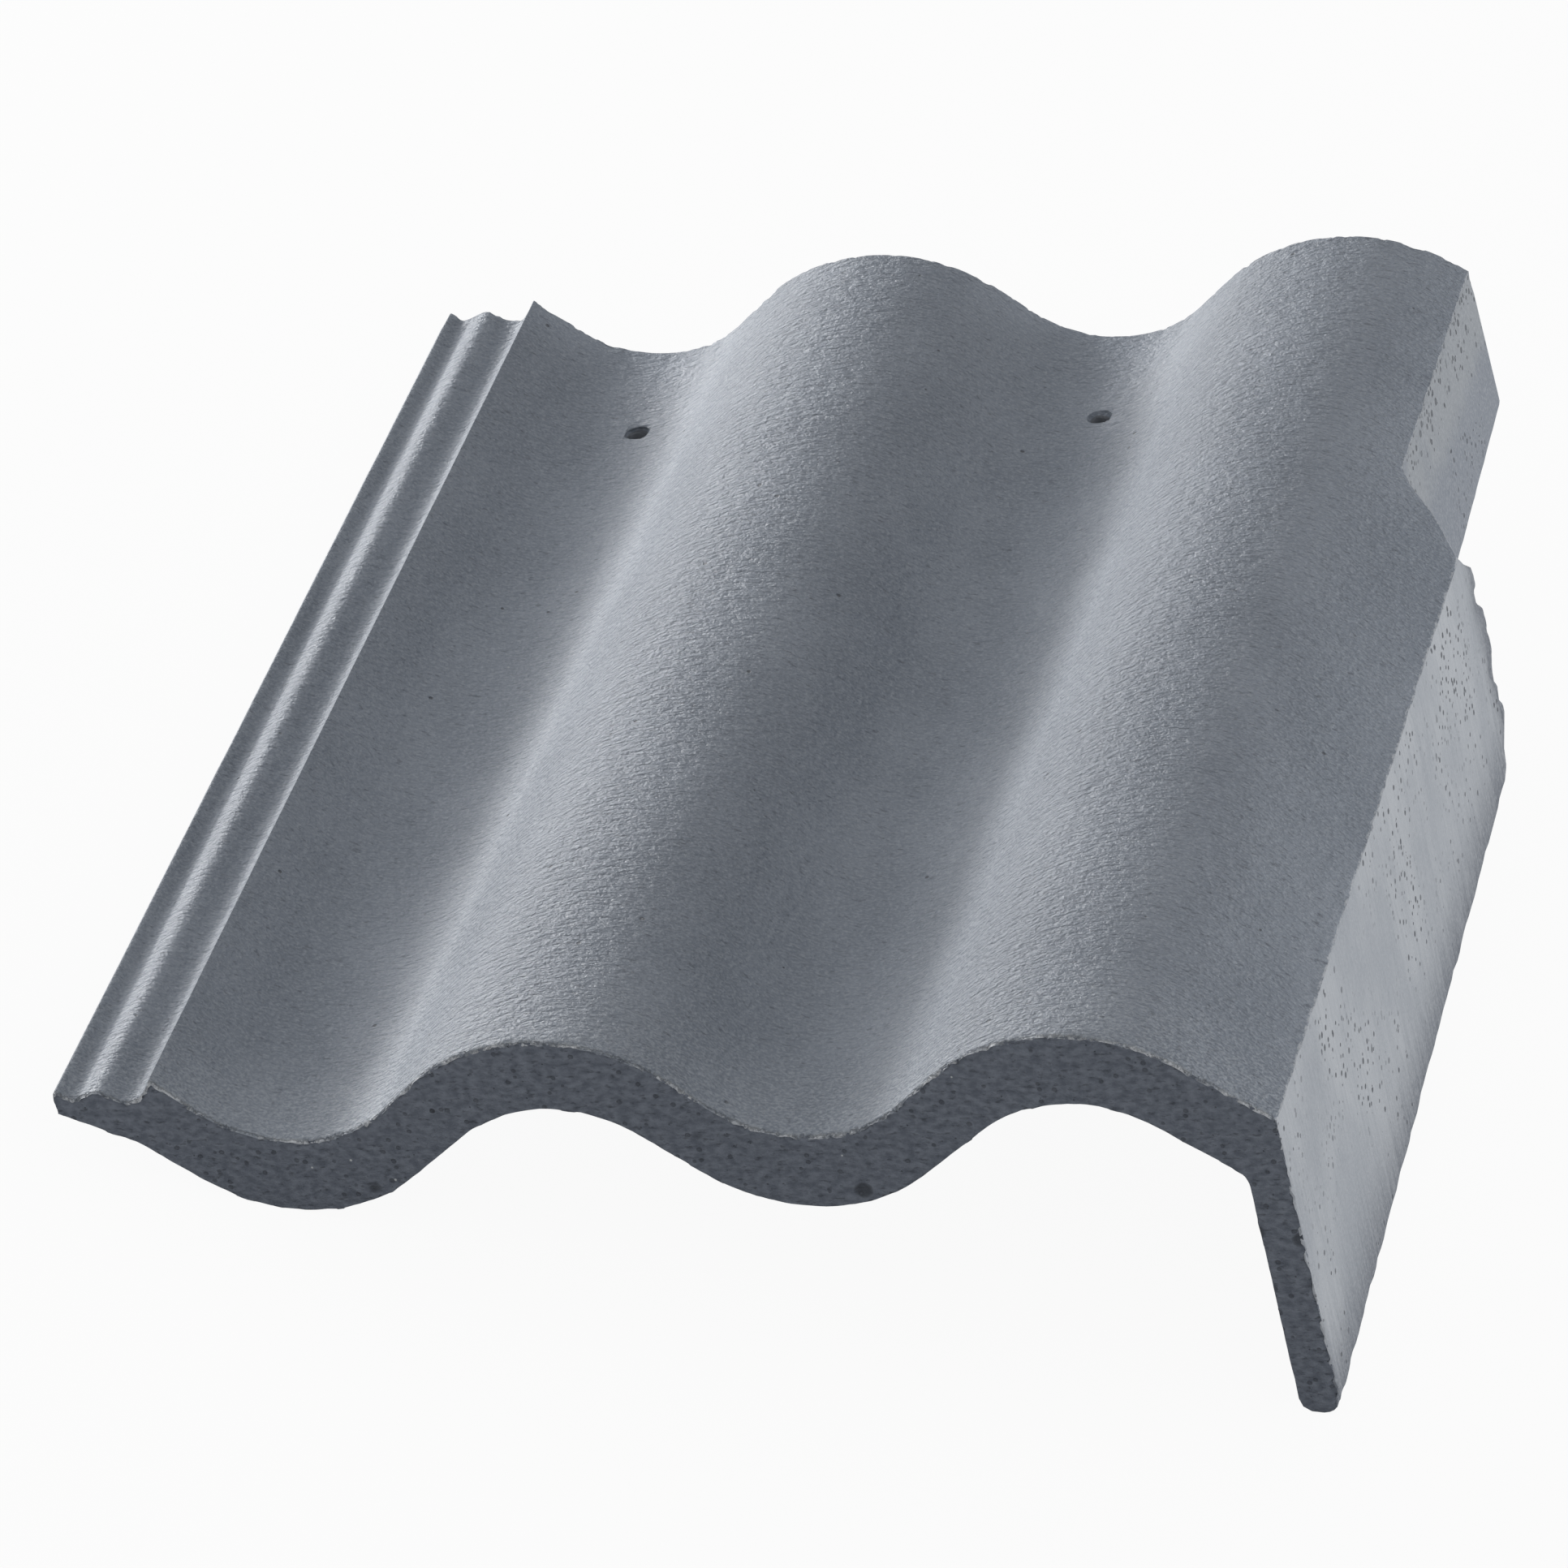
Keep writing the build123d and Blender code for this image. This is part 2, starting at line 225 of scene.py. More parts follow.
# %% The water lock
LOCK_TOP = 17.7 * MM
LOCK_UNDER = LOCK_TOP - 10.5 * MM
HEEL = (0.0, LOCK_TOP - 7.8 * MM)
STEP_TOP = 21.6 * MM
EDGE_ROUND = 1.0 * MM
STEP_ROUND = 0.85 * MM
LOCK_LEVELS = [(EDGE_ROUND, LOCK_TOP), (5.2 * MM, LOCK_TOP - 2.7 * MM), (13.4 * MM, LOCK_TOP),
               (21.6 * MM, LOCK_TOP - 3.7 * MM)]
STEP_BEND = np.array((26.2 * MM, LOCK_TOP - 3.9 * MM))
LOCK_PARTS = 8


def lock_path():
    """The top of the lock: a smooth ridge between two troughs, and a hollow step up to the first flank."""
    x, z = HEEL
    path = [(x, z + (LOCK_TOP - EDGE_ROUND - z) * part / LOCK_PARTS) for part in range(LOCK_PARTS + 1)]
    for (x, z), (next_x, next_z) in zip(LOCK_LEVELS, LOCK_LEVELS[1:]):
        for part in range(LOCK_PARTS):
            share = part / LOCK_PARTS
            path.append((x + (next_x - x) * share, z + (next_z - z) * share**2 * (3 - 2 * share)))
    step = np.array([TOP.first_flank_x(STEP_TOP), STEP_TOP])
    rounding = step + (STEP_BEND - step) / np.hypot(*(STEP_BEND - step)) * STEP_ROUND
    path += list(bend(np.array(LOCK_LEVELS[-1]), STEP_BEND, rounding, LOCK_PARTS))
    down = STEP_TOP - STEP_ROUND
    flank = np.array([TOP.first_flank_x(down), down])
    return np.array([*path, (rounding + step * 2 + flank) / 4, flank])


LOCK = lock_path()
print("lock path has", len(LOCK), "points")

# %% The flap, the notch and the inset wall
FLAP_THICKNESS = 12.5 * MM
FLAP_LEAN = math.tan(math.radians(1.6))
FLAP_DROP_NOSE = 97 * MM
FLAP_DROP_REAR = 80 * MM
FLAP_FOOT = 5.5 * MM
FLAP_REAR_CORNER = 14 * MM
NOTCH_START = LENGTH - 139 * MM
NOTCH_END = NOTCH_START + 26 * MM
FLAP_REAR = NOTCH_START + 13 * MM
SHOULDER_DROP = 22 * MM
INSET = 20 * MM
INSET_THICKNESS = 12 * MM
INSET_LEAN = math.tan(math.radians(3.5))
INSET_DROP_FRONT = 43 * MM
INSET_DROP_HEAD = 33 * MM
INSET_FOOT = 4.5 * MM
INNER_ROUND = 7 * MM


def verge_x(y):
    """Where the top surface ends on the right: at the flap, along the slanted notch, or at the inset."""
    return VERGE_X - INSET * np.clip((y - NOTCH_START) / (NOTCH_END - NOTCH_START), 0, 1)


def flap_drop(y):
    """How far the flap's foot hangs below the pans, with its rear corner rounded."""
    drop = FLAP_DROP_NOSE + (FLAP_DROP_REAR - FLAP_DROP_NOSE) * y / FLAP_REAR
    into_corner = max(0.0, y - (FLAP_REAR - FLAP_REAR_CORNER))
    return drop - FLAP_REAR_CORNER + math.sqrt(max(FLAP_REAR_CORNER**2 - into_corner**2, 0))


def inset_drop(y):
    """How far the inset wall hangs below the pans."""
    share = (y - NOTCH_START) / (LENGTH - NOTCH_START)
    return INSET_DROP_FRONT + (INSET_DROP_HEAD - INSET_DROP_FRONT) * share


def flap_x(z, inside=False):
    """Where the flap's outer or inner face stands at height z."""
    return VERGE_X - FLAP_THICKNESS * inside + (VERGE_Z - z) * FLAP_LEAN


def inset_x(z, inside=False):
    """Where the inset wall's outer or inner face stands at height z."""
    outer = VERGE_X - INSET
    return outer - INSET_THICKNESS * inside + (float(TOP.z(outer)) - z) * INSET_LEAN


# %% [markdown]
# ## The underside
#
# The deck is 12 mm thick. The nose is a deeper rib that rests on the tile below, and a lower rib behind
# it, the weather bar, stops driven rain. Both follow the rolls, so at each station the underside is just
# a wave of another depth.

# %% The underside
NOSE_WAVE = (38, 34.3 * MM, 40 * MM, -24.7 * MM)
NOSE_HEEL_Z = LOCK_TOP - 18.2 * MM
NOSE_LENGTH = 22 * MM
BAR_DEPTH = 19 * MM
BAR_SPAN = (54 * MM, 74 * MM)
RIB_CHAMFER = 3 * MM
NUDGE = 1e-6


def under_wave(y, behind):
    """The wave under the deck at y, and the height of its left end; behind picks a rib wall's far side."""
    nudge = NUDGE if behind else -NUDGE
    if y + nudge < NOSE_LENGTH:
        angle, height, radius, pan_z = NOSE_WAVE
        return Wave(angle, height, radius, pan_z + max(0.0, y - NOSE_LENGTH + RIB_CHAMFER)), NOSE_HEEL_Z
    start, end = BAR_SPAN
    if start < y + nudge < end:
        from_end = min(y - start, end - y)
        return level(BAR_DEPTH - max(0.0, RIB_CHAMFER - from_end)), LOCK_UNDER
    return level(THICKNESS), LOCK_UNDER


# %% Counts of the loop's stretches
DECK_STEPS = 370
VERGE_STEPS = 18
WEB_STEPS = 8
LEDGE_STEPS = 2
WALL_STEPS = 48
FOOT_STEPS = 6
if (len(LOCK) - 1 + DECK_STEPS) % 2:
    DECK_STEPS += 1
UNDER_STEPS = (len(LOCK) - 1 + DECK_STEPS) // 2
CORNER_STEPS = 6
ROUND_STEPS = 6
UPPER_STEPS = 12
SIDE_STEPS = VERGE_STEPS + WEB_STEPS + LEDGE_STEPS + WALL_STEPS
LOWER_STEPS = SIDE_STEPS // 2 - CORNER_STEPS - ROUND_STEPS - UPPER_STEPS
ARC_STEPS = 8
SPLIT_TOP_X = 325 * MM
SPLIT_UNDER_X = 312 * MM
WAVE_SAMPLES = 400


def wave_path(wave, start, end, count):
    """Points of equal steps along a wave from one x to another."""
    x = np.linspace(start, end, WAVE_SAMPLES)
    return resample(np.stack([x, wave.z(x)], 1), count)


DECK_TOP = wave_path(TOP, LOCK[-1][0], SPLIT_TOP_X, DECK_STEPS)


def outer_path(y, flap_ends):
    """The loop from the heel over the top to the middle of the flap's or the wall's foot."""
    edge = float(verge_x(y))
    corner = np.array([edge, float(TOP.z(edge))])
    parts = [LOCK, DECK_TOP, wave_path(TOP, SPLIT_TOP_X, edge, VERGE_STEPS)]
    fall = SHOULDER_DROP * min(1.0, max(0.0, (y - NOTCH_START) / (FLAP_REAR - NOTCH_START)))
    shoulder = np.array([edge, corner[1] - fall])
    if flap_ends:
        side, foot, foot_z = inset_x, INSET_FOOT, -inset_drop(y)
        least_x = edge if y < NOTCH_END else 0.0
        upper = np.linspace(corner[1], shoulder[1], WEB_STEPS + 1)
        lower = np.linspace(shoulder[1], foot_z + foot, WALL_STEPS + LEDGE_STEPS + 1)
        parts += [np.stack([np.maximum(least_x, side(z)), z], 1) for z in (upper, lower)]
        parts[-2][0] = corner
    else:
        side, foot, foot_z = flap_x, FLAP_FOOT, -flap_drop(y)
        wall = np.array([side(shoulder[1]), shoulder[1]])
        wall_foot = np.array([side(foot_z + foot), foot_z + foot])
        parts += [resample([corner, shoulder], WEB_STEPS), resample([shoulder, wall], LEDGE_STEPS)]
        parts.append(resample([wall, wall_foot], WALL_STEPS))
    arc = quarter((parts[-1][-1][0] - foot, foot_z + foot), foot, 0, -90, FOOT_STEPS - 1)
    inner_turn = side(foot_z, True) + foot
    middle = (arc[-1][0] + min(inner_turn, arc[-1][0])) / 2
    parts += [arc, np.array([[middle, foot_z]])]
    return np.concatenate([parts[0], *[part[1:] for part in parts[1:-1]], parts[-1]])


def inner_bend(wave, side, lean):
    """The rounded corner between the deck's underside and the inner face of the flap or the wall."""
    deck_line = wave.fall_z + wave.fall_x * VERGE_SLOPE
    corner_z = (deck_line - side(0.0, True) * VERGE_SLOPE) / (1 - lean * VERGE_SLOPE)
    corner = np.array([side(corner_z, True), corner_z])
    along = np.array([-1, VERGE_SLOPE]) / math.hypot(1, VERGE_SLOPE)
    down = np.array([lean, -1]) / math.hypot(lean, 1)
    reach = INNER_ROUND / math.tan(math.acos(float(along @ down)) / 2)
    return bend(corner + along * reach, corner, corner + down * reach, ROUND_STEPS)


def inner_path(y, behind, flap_ends, inset, foot_middle):
    """The loop from the heel along the underside to the middle of the foot."""
    wave, heel_z = under_wave(y, behind)
    corner = inner_bend(wave, inset_x, INSET_LEAN) if inset else inner_bend(wave, flap_x, FLAP_LEAN)
    x = np.linspace(wave.first_flank_x(heel_z), SPLIT_UNDER_X, WAVE_SAMPLES)
    deck = np.concatenate([[HEEL], np.stack([x, wave.z(x)], 1)])
    parts = [resample(deck, UNDER_STEPS), wave_path(wave, SPLIT_UNDER_X, corner[0][0], CORNER_STEPS), corner]
    if flap_ends:
        turn_z = INSET_FOOT - inset_drop(y)
        arc = quarter((inset_x(turn_z, True) + INSET_FOOT, turn_z), INSET_FOOT, -90, -180, ARC_STEPS)
        total = FOOT_STEPS // 2 + LOWER_STEPS + UPPER_STEPS
        parts.append(resample(np.concatenate([[foot_middle], arc, [corner[-1]]]), total)[::-1])
    else:
        web_z = -INSET_DROP_FRONT
        web = (flap_x(web_z, True), web_z)
        ledge = [(inset_x(web_z, True), web_z)] if inset else []
        parts.append(resample([corner[-1], *ledge, web], UPPER_STEPS))
        turn_z = FLAP_FOOT - flap_drop(y)
        arc = quarter((flap_x(turn_z, True) + FLAP_FOOT, turn_z), FLAP_FOOT, -180, -90, ARC_STEPS)
        parts.append(resample([web, arc[0]], LOWER_STEPS))
        parts.append(resample(np.concatenate([arc, [foot_middle]]), FOOT_STEPS // 2))
    return np.concatenate([parts[0], *[part[1:] for part in parts[1:]]])


# %% [markdown]
# ## Stations
#
# Loops stand close together near the nose, where the cut edge is rounded and chipped, and 4.4 mm apart
# over the rest. Where a rib, the flap or the inset wall begins or ends, two loops share a station, one
# for each side of the step, and the faces between them are the wall that the eye sees.

# %% Stations along the tile
NOSE_ROUND = 0.45 * MM
HEAD_ROUND = 0.4 * MM
# Places of the loops near the nose, in millimetres.
NEAR_NOSE = [0.4, 1.0, 1.7, 2.5, 3.4, 4.4, 5.5, 6.8, 8.3, 10, 12, 14.4, 17, 19, 22]
STATION_STEP = 4.4 * MM


def stations():
    """Each loop's place, whether it is the far side of a step, and how far it is drawn in at an edge."""
    rows = [(NOSE_ROUND * (1 - math.sin(a)), False, NOSE_ROUND * (1 - math.cos(a)))
            for a in np.radians((90, 60, 30))]
    rows += [(NOSE_ROUND + y * MM * (1 - NOSE_ROUND / NOSE_LENGTH), False, 0.0) for y in NEAR_NOSE]
    steps = [NOSE_LENGTH, *BAR_SPAN, NOTCH_START, FLAP_REAR, NOTCH_END, LENGTH - HEAD_ROUND]
    for start, end in zip(steps, steps[1:]):
        rows += [(start, True, 0.0)]
        count = math.ceil((end - start) / STATION_STEP)
        rows += [(start + (end - start) * k / count, False, 0.0) for k in range(1, count + 1)]
    rows += [(LENGTH - HEAD_ROUND * (1 - math.sin(a)), False, HEAD_ROUND * (1 - math.cos(a)))
             for a in np.radians((45, 90))]
    return sorted({(round(y, 7), behind, inset) for y, behind, inset in rows})


STATIONS = stations()
print(len(STATIONS), "stations")

# %% One loop
CLOSE = 1e-7
SAME_POINT = 1e-9


def drawn_in(loop, amount):
    """The loop moved inwards by an amount, as at a rounded edge."""
    if amount <= 0:
        return loop
    step = np.hypot(*(loop - np.roll(loop, 1, 0)).T)
    kept = np.flatnonzero(step > SAME_POINT)
    ring = loop[kept]
    tangent = np.roll(ring, -1, 0) - np.roll(ring, 1, 0)
    tangent /= np.hypot(*tangent.T)[:, None]
    inward = np.stack([tangent[:, 1], -tangent[:, 0]], 1)
    moved = ring + inward * amount
    owner = np.searchsorted(kept, np.arange(len(loop)), side="right") - 1
    return moved[owner]


def past(station, place):
    """Whether a station lies behind a step of the tile, or on the step's far side."""
    y, behind, _ = station
    return y > place + CLOSE or (abs(y - place) < CLOSE and behind)


def loop_at(station):
    """The closed loop of (x, z) points at one station."""
    y, behind, amount = station
    flap_ends = past(station, FLAP_REAR)
    outer = outer_path(y, flap_ends)
    inner = inner_path(y, behind, flap_ends, past(station, NOTCH_START), outer[-1])
    return drawn_in(np.concatenate([outer, inner[-2:0:-1]]), amount)


loops = [loop_at(station) for station in STATIONS]
RING = len(loops[0])
print("each loop has", RING, "points")

# %% [markdown]
# ## Skin and end faces
#
# The loops give the long skin. The two cut ends need points inside them as well, or their rough face
# could not be roughened. So points are scattered within the end's loop, with a fixed seed, and all of
# them are joined by triangles that follow the loop and never cross it.

# %% Skin and end faces
NOSE_SPACING = 1.25 * MM
HEAD_SPACING = 2.5 * MM
SCATTER = np.random.default_rng(11)
SCATTER_SHIFT = 0.3
SCATTER_CLEARANCE = 0.6
MERGE_DISTANCE = 2e-6
SLIVER = 1e-6


def inside(ring, points):
    """Which points lie within the closed ring."""
    x, z = points.T
    within = np.zeros(len(points), bool)
    for (ax, az), (bx, bz) in zip(ring, np.roll(ring, -1, 0)):
        if az != bz:
            within ^= ((az > z) != (bz > z)) & (x < (bx - ax) * (z - az) / (bz - az) + ax)
    return within


def scattered(ring, spacing):
    """Points spread within the ring, a little way off it."""
    low, high = ring.min(0), ring.max(0)
    grid = np.meshgrid(np.arange(low[0], high[0], spacing), np.arange(low[1], high[1], spacing))
    points = np.stack(grid, -1).reshape(-1, 2)
    points += SCATTER.uniform(-SCATTER_SHIFT, SCATTER_SHIFT, points.shape) * spacing
    points = points[inside(ring, points)]
    nearest = [np.hypot(*(ring - point).T).min() for point in points]
    return points[np.array(nearest) > SCATTER_CLEARANCE * spacing]


def end_face(loop, y, first, spacing, offset):
    """Points and faces of a cut end; first is its loop's first index and offset the next free one."""
    kept = np.flatnonzero(np.hypot(*(loop - np.roll(loop, 1, 0)).T) > CLOSE)
    ring = loop[kept]
    points = scattered(ring, spacing)
    owner = [*(first + kept), *range(offset, offset + len(points))]
    edges = [(i, (i + 1) % len(ring)) for i in range(len(ring))]
    flat = [Vector(point / MM) for point in np.concatenate([ring, points])]
    made = delaunay_2d_cdt(flat, edges, [], 1, 1e-5)
    source = [int(owner[given[0]]) for given in made[3]]
    faces = [tuple(source[corner] for corner in face) for face in made[2]]
    return [(x, y, z) for x, z in points], faces


def skin():
    """Points and faces of the whole tile, lying flat."""
    points = [(x, station[0], z) for station, loop in zip(STATIONS, loops) for x, z in loop]
    faces = []
    for row in range(len(STATIONS) - 1):
        base = row * RING
        for i in range(RING):
            j = (i + 1) % RING
            faces.append((base + i, base + j, base + RING + j, base + RING + i))
    for index, spacing in ((0, NOSE_SPACING), (len(STATIONS) - 1, HEAD_SPACING)):
        y, first = STATIONS[index][0], index * RING
        end_points, end_faces = end_face(loops[index], y, first, spacing, len(points))
        points += end_points
        faces += end_faces
    return points, faces


def new_object(name, mesh):
    """A mesh put into the scene as an object."""
    made = bpy.data.objects.new(name, mesh)
    bpy.context.scene.collection.objects.link(made)
    return made


def cleaned(mesh):
    """Merges points that coincide and turns every face outwards."""
    work = bmesh.new()
    work.from_mesh(mesh)
    bmesh.ops.remove_doubles(work, verts=work.verts, dist=MERGE_DISTANCE)
    bmesh.ops.dissolve_degenerate(work, edges=work.edges, dist=SLIVER)
    bmesh.ops.recalc_face_normals(work, faces=work.faces)
    work.to_mesh(mesh)
    work.free()
    return mesh


def make_skin():
    """The tile's body without nibs and nail holes."""
    points, faces = skin()
    mesh = bpy.data.meshes.new("tile_skin")
    mesh.from_pydata(points, [], faces)
    return new_object("tile_skin", cleaned(mesh))


body = make_skin()
print("body:", len(body.data.vertices), "points,", len(body.data.polygons), "faces")

# %% [markdown]
# ## Nibs and nail holes
#
# The tile hangs on two nibs under its pans, and a nail goes through each pan in front of them. They
# break the rule of the section, so they are small closed forms of their own, added and cut by a Boolean,
# the tool for forms that meet at one place only.

# %% Nibs and nail holes
NIB_WIDTH = 36 * MM
NIB_LAND = 8 * MM
NIB_BACK = 8 * MM
NIB_ROUND = 2.0 * MM
NAIL_Y = LENGTH - 48 * MM
NAIL_OFFSET = 2.5 * MM
NAIL_RADIUS = 2.4 * MM
NAIL_PROFILE = [(NAIL_RADIUS, -2 * THICKNESS), (NAIL_RADIUS, -2.2 * MM), (NAIL_RADIUS * 1.1, -1.2 * MM),
                (NAIL_RADIUS * 1.5, 0), (NAIL_RADIUS * 3, THICKNESS / 2)]
NAIL_SIDES = 28


def add_nib(work, pan_x):
    """A nib: a flat face towards the nose, a short land and a sloping back."""
    root, tip = -THICKNESS / 2, -(THICKNESS + NIB_DEPTH)
    back = NIB_FACE_Y + NIB_LAND
    profile = [(NIB_FACE_Y, root), (NIB_FACE_Y, tip), (back, tip), (back + NIB_BACK, root)]
    sides = [[work.verts.new((pan_x + side * NIB_WIDTH / 2, y, z)) for y, z in profile] for side in (-1, 1)]
    work.faces.new(sides[0])
    work.faces.new(sides[1][::-1])
    for i in range(4):
        j = (i + 1) % 4
        work.faces.new((sides[0][j], sides[0][i], sides[1][i], sides[1][j]))


def make_nibs():
    """Both nibs as one closed mesh with rounded edges."""
    work = bmesh.new()
    for pan_x in PANS:
        add_nib(work, pan_x)
    bmesh.ops.bevel(work, geom=list(work.edges), offset=NIB_ROUND, segments=3, affect="EDGES", profile=0.5)
    bmesh.ops.recalc_face_normals(work, faces=work.faces)
    mesh = bpy.data.meshes.new("nibs")
    work.to_mesh(mesh)
    work.free()
    return new_object("nibs", mesh)


def make_nail_pins():
    """The two pins that leave the nail holes, flared at the top where the mix slumped in."""
    work = bmesh.new()
    for pan_x in PANS:
        rings = []
        for radius, z in NAIL_PROFILE:
            turns = [2 * math.pi * k / NAIL_SIDES for k in range(NAIL_SIDES)]
            rings.append([work.verts.new((pan_x + NAIL_OFFSET + radius * math.cos(turn),
                                          NAIL_Y + radius * math.sin(turn), z)) for turn in turns])
        for low, high in zip(rings, rings[1:]):
            for k in range(NAIL_SIDES):
                work.faces.new((low[k], low[k - 1], high[k - 1], high[k]))
        work.faces.new(rings[0])
        work.faces.new(rings[-1])
    bmesh.ops.recalc_face_normals(work, faces=work.faces)
    mesh = bpy.data.meshes.new("nail_pins")
    work.to_mesh(mesh)
    work.free()
    return new_object("nail_pins", mesh)


def evaluated_mesh(piece, name):
    """The piece's mesh with its modifiers made real."""
    bpy.context.view_layer.update()
    graph = bpy.context.evaluated_depsgraph_get()
    mesh = bpy.data.meshes.new_from_object(piece.evaluated_get(graph), depsgraph=graph)
    mesh.name = name
    return mesh


def combine(base, tool, operation):
    """Adds or cuts the tool from the base, and removes the tool."""
    modifier = base.modifiers.new(operation, "BOOLEAN")
    modifier.operation = operation
    modifier.solver = "EXACT"
    modifier.object = tool
    mesh = evaluated_mesh(base, base.name)
    base.modifiers.clear()
    base.data = mesh
    bpy.data.objects.remove(tool)


combine(body, make_nibs(), "UNION")
combine(body, make_nail_pins(), "DIFFERENCE")
print("with nibs and nail holes:", len(body.data.polygons), "faces")

# %% [markdown]
# ## Marking the surfaces
#
# One casting, but four kinds of surface: the pressed and coated top, the cut nose and head, the flap's
# outer side, and the rough underside. Each face gets its kind as a number. Each point keeps its place in
# the flat frame, how near it is to the nose's top edge and to the two long edges that get rubbed, and how
# much darker it is painted, which is most at the flap's foot and rear. The roughness and the finishes
# read these marks.

# %% Marks on faces and points
COATED, CUT, SIDE, UNDER = range(4)
EDGE_FADE = 2.2 * MM
CORNER_FADE = 1.6 * MM
FOOT_FADE = 20 * MM
REAR_FADE = 9 * MM
COAT_DEPTH = 1.2 * MM
LOCK_COAT_DEPTH = 4 * MM
SIDE_MARGIN = 0.2 * MM
FLAP_MARGIN = 1 * MM
FAR = 1.0
UPWARDS = -0.2
SIDEWAYS = 0.25
ENDWAYS = 0.6


def array_of(elements, name, width):
    """A property of many mesh elements as a numpy array."""
    values = np.zeros(len(elements) * width, np.float32)
    elements.foreach_get(name, values)
    return values.reshape(-1, width)


def face_kinds(mesh):
    """The kind of surface that each face belongs to."""
    x, y, z = array_of(mesh.polygons, "center", 3).T
    across, along, up = array_of(mesh.polygons, "normal", 3).T
    coat_z = np.where(x < LOCK[-1][0], LOCK_TOP - LOCK_COAT_DEPTH, TOP.z(x) - COAT_DEPTH)
    edge_x = verge_x(y)
    kind = np.full(len(x), UNDER)
    kind[(up > UPWARDS) & (z > coat_z) & (x < edge_x)] = COATED
    kind[(x < COAT_DEPTH) & (z > HEEL[1])] = COATED
    kind[(across > SIDEWAYS) & (x > edge_x - SIDE_MARGIN) & (z < TOP.z(edge_x))] = SIDE
    kind[(y < NOSE_ROUND * 0.6) & (along < -ENDWAYS)] = CUT
    kind[(y > LENGTH - HEAD_ROUND) & (along > ENDWAYS)] = CUT
    return kind


def wear_marks(points):
    """How near each point is to an edge that wears, and how much darker the flap is painted there, from 0 to
    1.
    """
    x, y, z = points.T
    below = np.where(x < LOCK[-1][0], np.interp(x, LOCK[2:, 0], LOCK[2:, 1]), TOP.z(x)) - z
    beside = np.where(z < VERGE_Z, np.abs(flap_x(z) - x), FAR)
    gap = np.minimum(np.where(x < VERGE_X, np.abs(below), FAR), beside)
    edge_x = verge_x(y)
    to_verge = np.hypot(x - edge_x, z - TOP.z(edge_x))
    to_lock_edge = np.hypot(x - EDGE_ROUND / 2, z - LOCK_TOP)
    to_foot = z + np.array([flap_drop(min(place, FLAP_REAR)) for place in y])
    # Darker towards the flap's foot and towards its rear edge.
    darker_foot_and_rear = np.maximum(np.exp(-(to_foot / FOOT_FADE) ** 2), np.exp(-((FLAP_REAR - y) / REAR_FADE) ** 2))
    on_flap = (x > VERGE_X - FLAP_MARGIN) & (y < FLAP_REAR + FLAP_MARGIN)
    return {"nose_edge": np.exp(-np.hypot(y, gap) / EDGE_FADE),
            "verge_edge": np.exp(-np.minimum(to_verge, to_lock_edge) / CORNER_FADE),
            "darker_foot_and_rear": darker_foot_and_rear * on_flap}


def mark_surfaces(mesh):
    """Stores the kind of each face, and the flat place and the wear of each point."""
    kind = face_kinds(mesh)
    mesh.attributes.new("kind", "INT", "FACE").data.foreach_set("value", kind.astype(np.int32))
    points = array_of(mesh.vertices, "co", 3)
    mesh.attributes.new("flat", "FLOAT_VECTOR", "POINT").data.foreach_set("vector", points.ravel())
    for name, mark in wear_marks(points).items():
        mesh.attributes.new(name, "FLOAT", "POINT").data.foreach_set("value", mark.astype(np.float32))
    return kind


kinds = mark_surfaces(body.data)
print("faces of each kind:", {name: int((kinds == k).sum()) for k, name in
                              enumerate(("coated", "cut", "side", "under"))})
body.data.transform(PLACE)

# %% [markdown]
# ## Shared shader groups
#
# Grain, pits and worn edges come back in every finish of the tile, only larger or smaller. Each is a
# node group with named inputs, built once and used in each material with its own values. They work in
# millimetres of the flat frame, which every point carries as an attribute, so a size in a material
# is the size on the real tile.


# %% Helpers for node trees
def add(tree, kind, values=None, **settings):
    """A node with its settings, its input values and its links made."""
    made = tree.nodes.new(kind)
    for name, value in settings.items():
        setattr(made, name, value)
    for socket, value in (values or {}).items():
        if isinstance(value, bpy.types.NodeSocket):
            tree.links.new(value, made.inputs[socket])
        else:
            made.inputs[socket].default_value = value
    return made


def maths(tree, operation, a, b=0.0, clamp=False):
    """A Math node's result."""
    return add(tree, "ShaderNodeMath", {0: a, 1: b}, operation=operation, use_clamp=clamp).outputs[0]


def times(tree, first, *others):
    """The product of two or more values."""
    for other in others:
        first = maths(tree, "MULTIPLY", first, other)
    return first


def ramp(tree, value, low, high, to_low=0.0, to_high=1.0):
    """A value moved smoothly from one range to another."""
    values = {"Value": value, "From Min": low, "From Max": high, "To Min": to_low, "To Max": to_high}
    made = add(tree, "ShaderNodeMapRange", values, interpolation_type="SMOOTHSTEP")
    return made.outputs["Result"]


def new_group(name, inputs, outputs):
    """An empty shader group with named sockets, and its input and output nodes."""
    group = bpy.data.node_groups.new(name, "ShaderNodeTree")
    for socket, value in inputs.items():
        kind = "NodeSocketVector" if isinstance(value, tuple) else "NodeSocketFloat"
        group.interface.new_socket(socket, in_out="INPUT", socket_type=kind).default_value = value
    for socket in outputs:
        group.interface.new_socket(socket, in_out="OUTPUT", socket_type="NodeSocketFloat")
    return group, group.nodes.new("NodeGroupInput").outputs, group.nodes.new("NodeGroupOutput").inputs


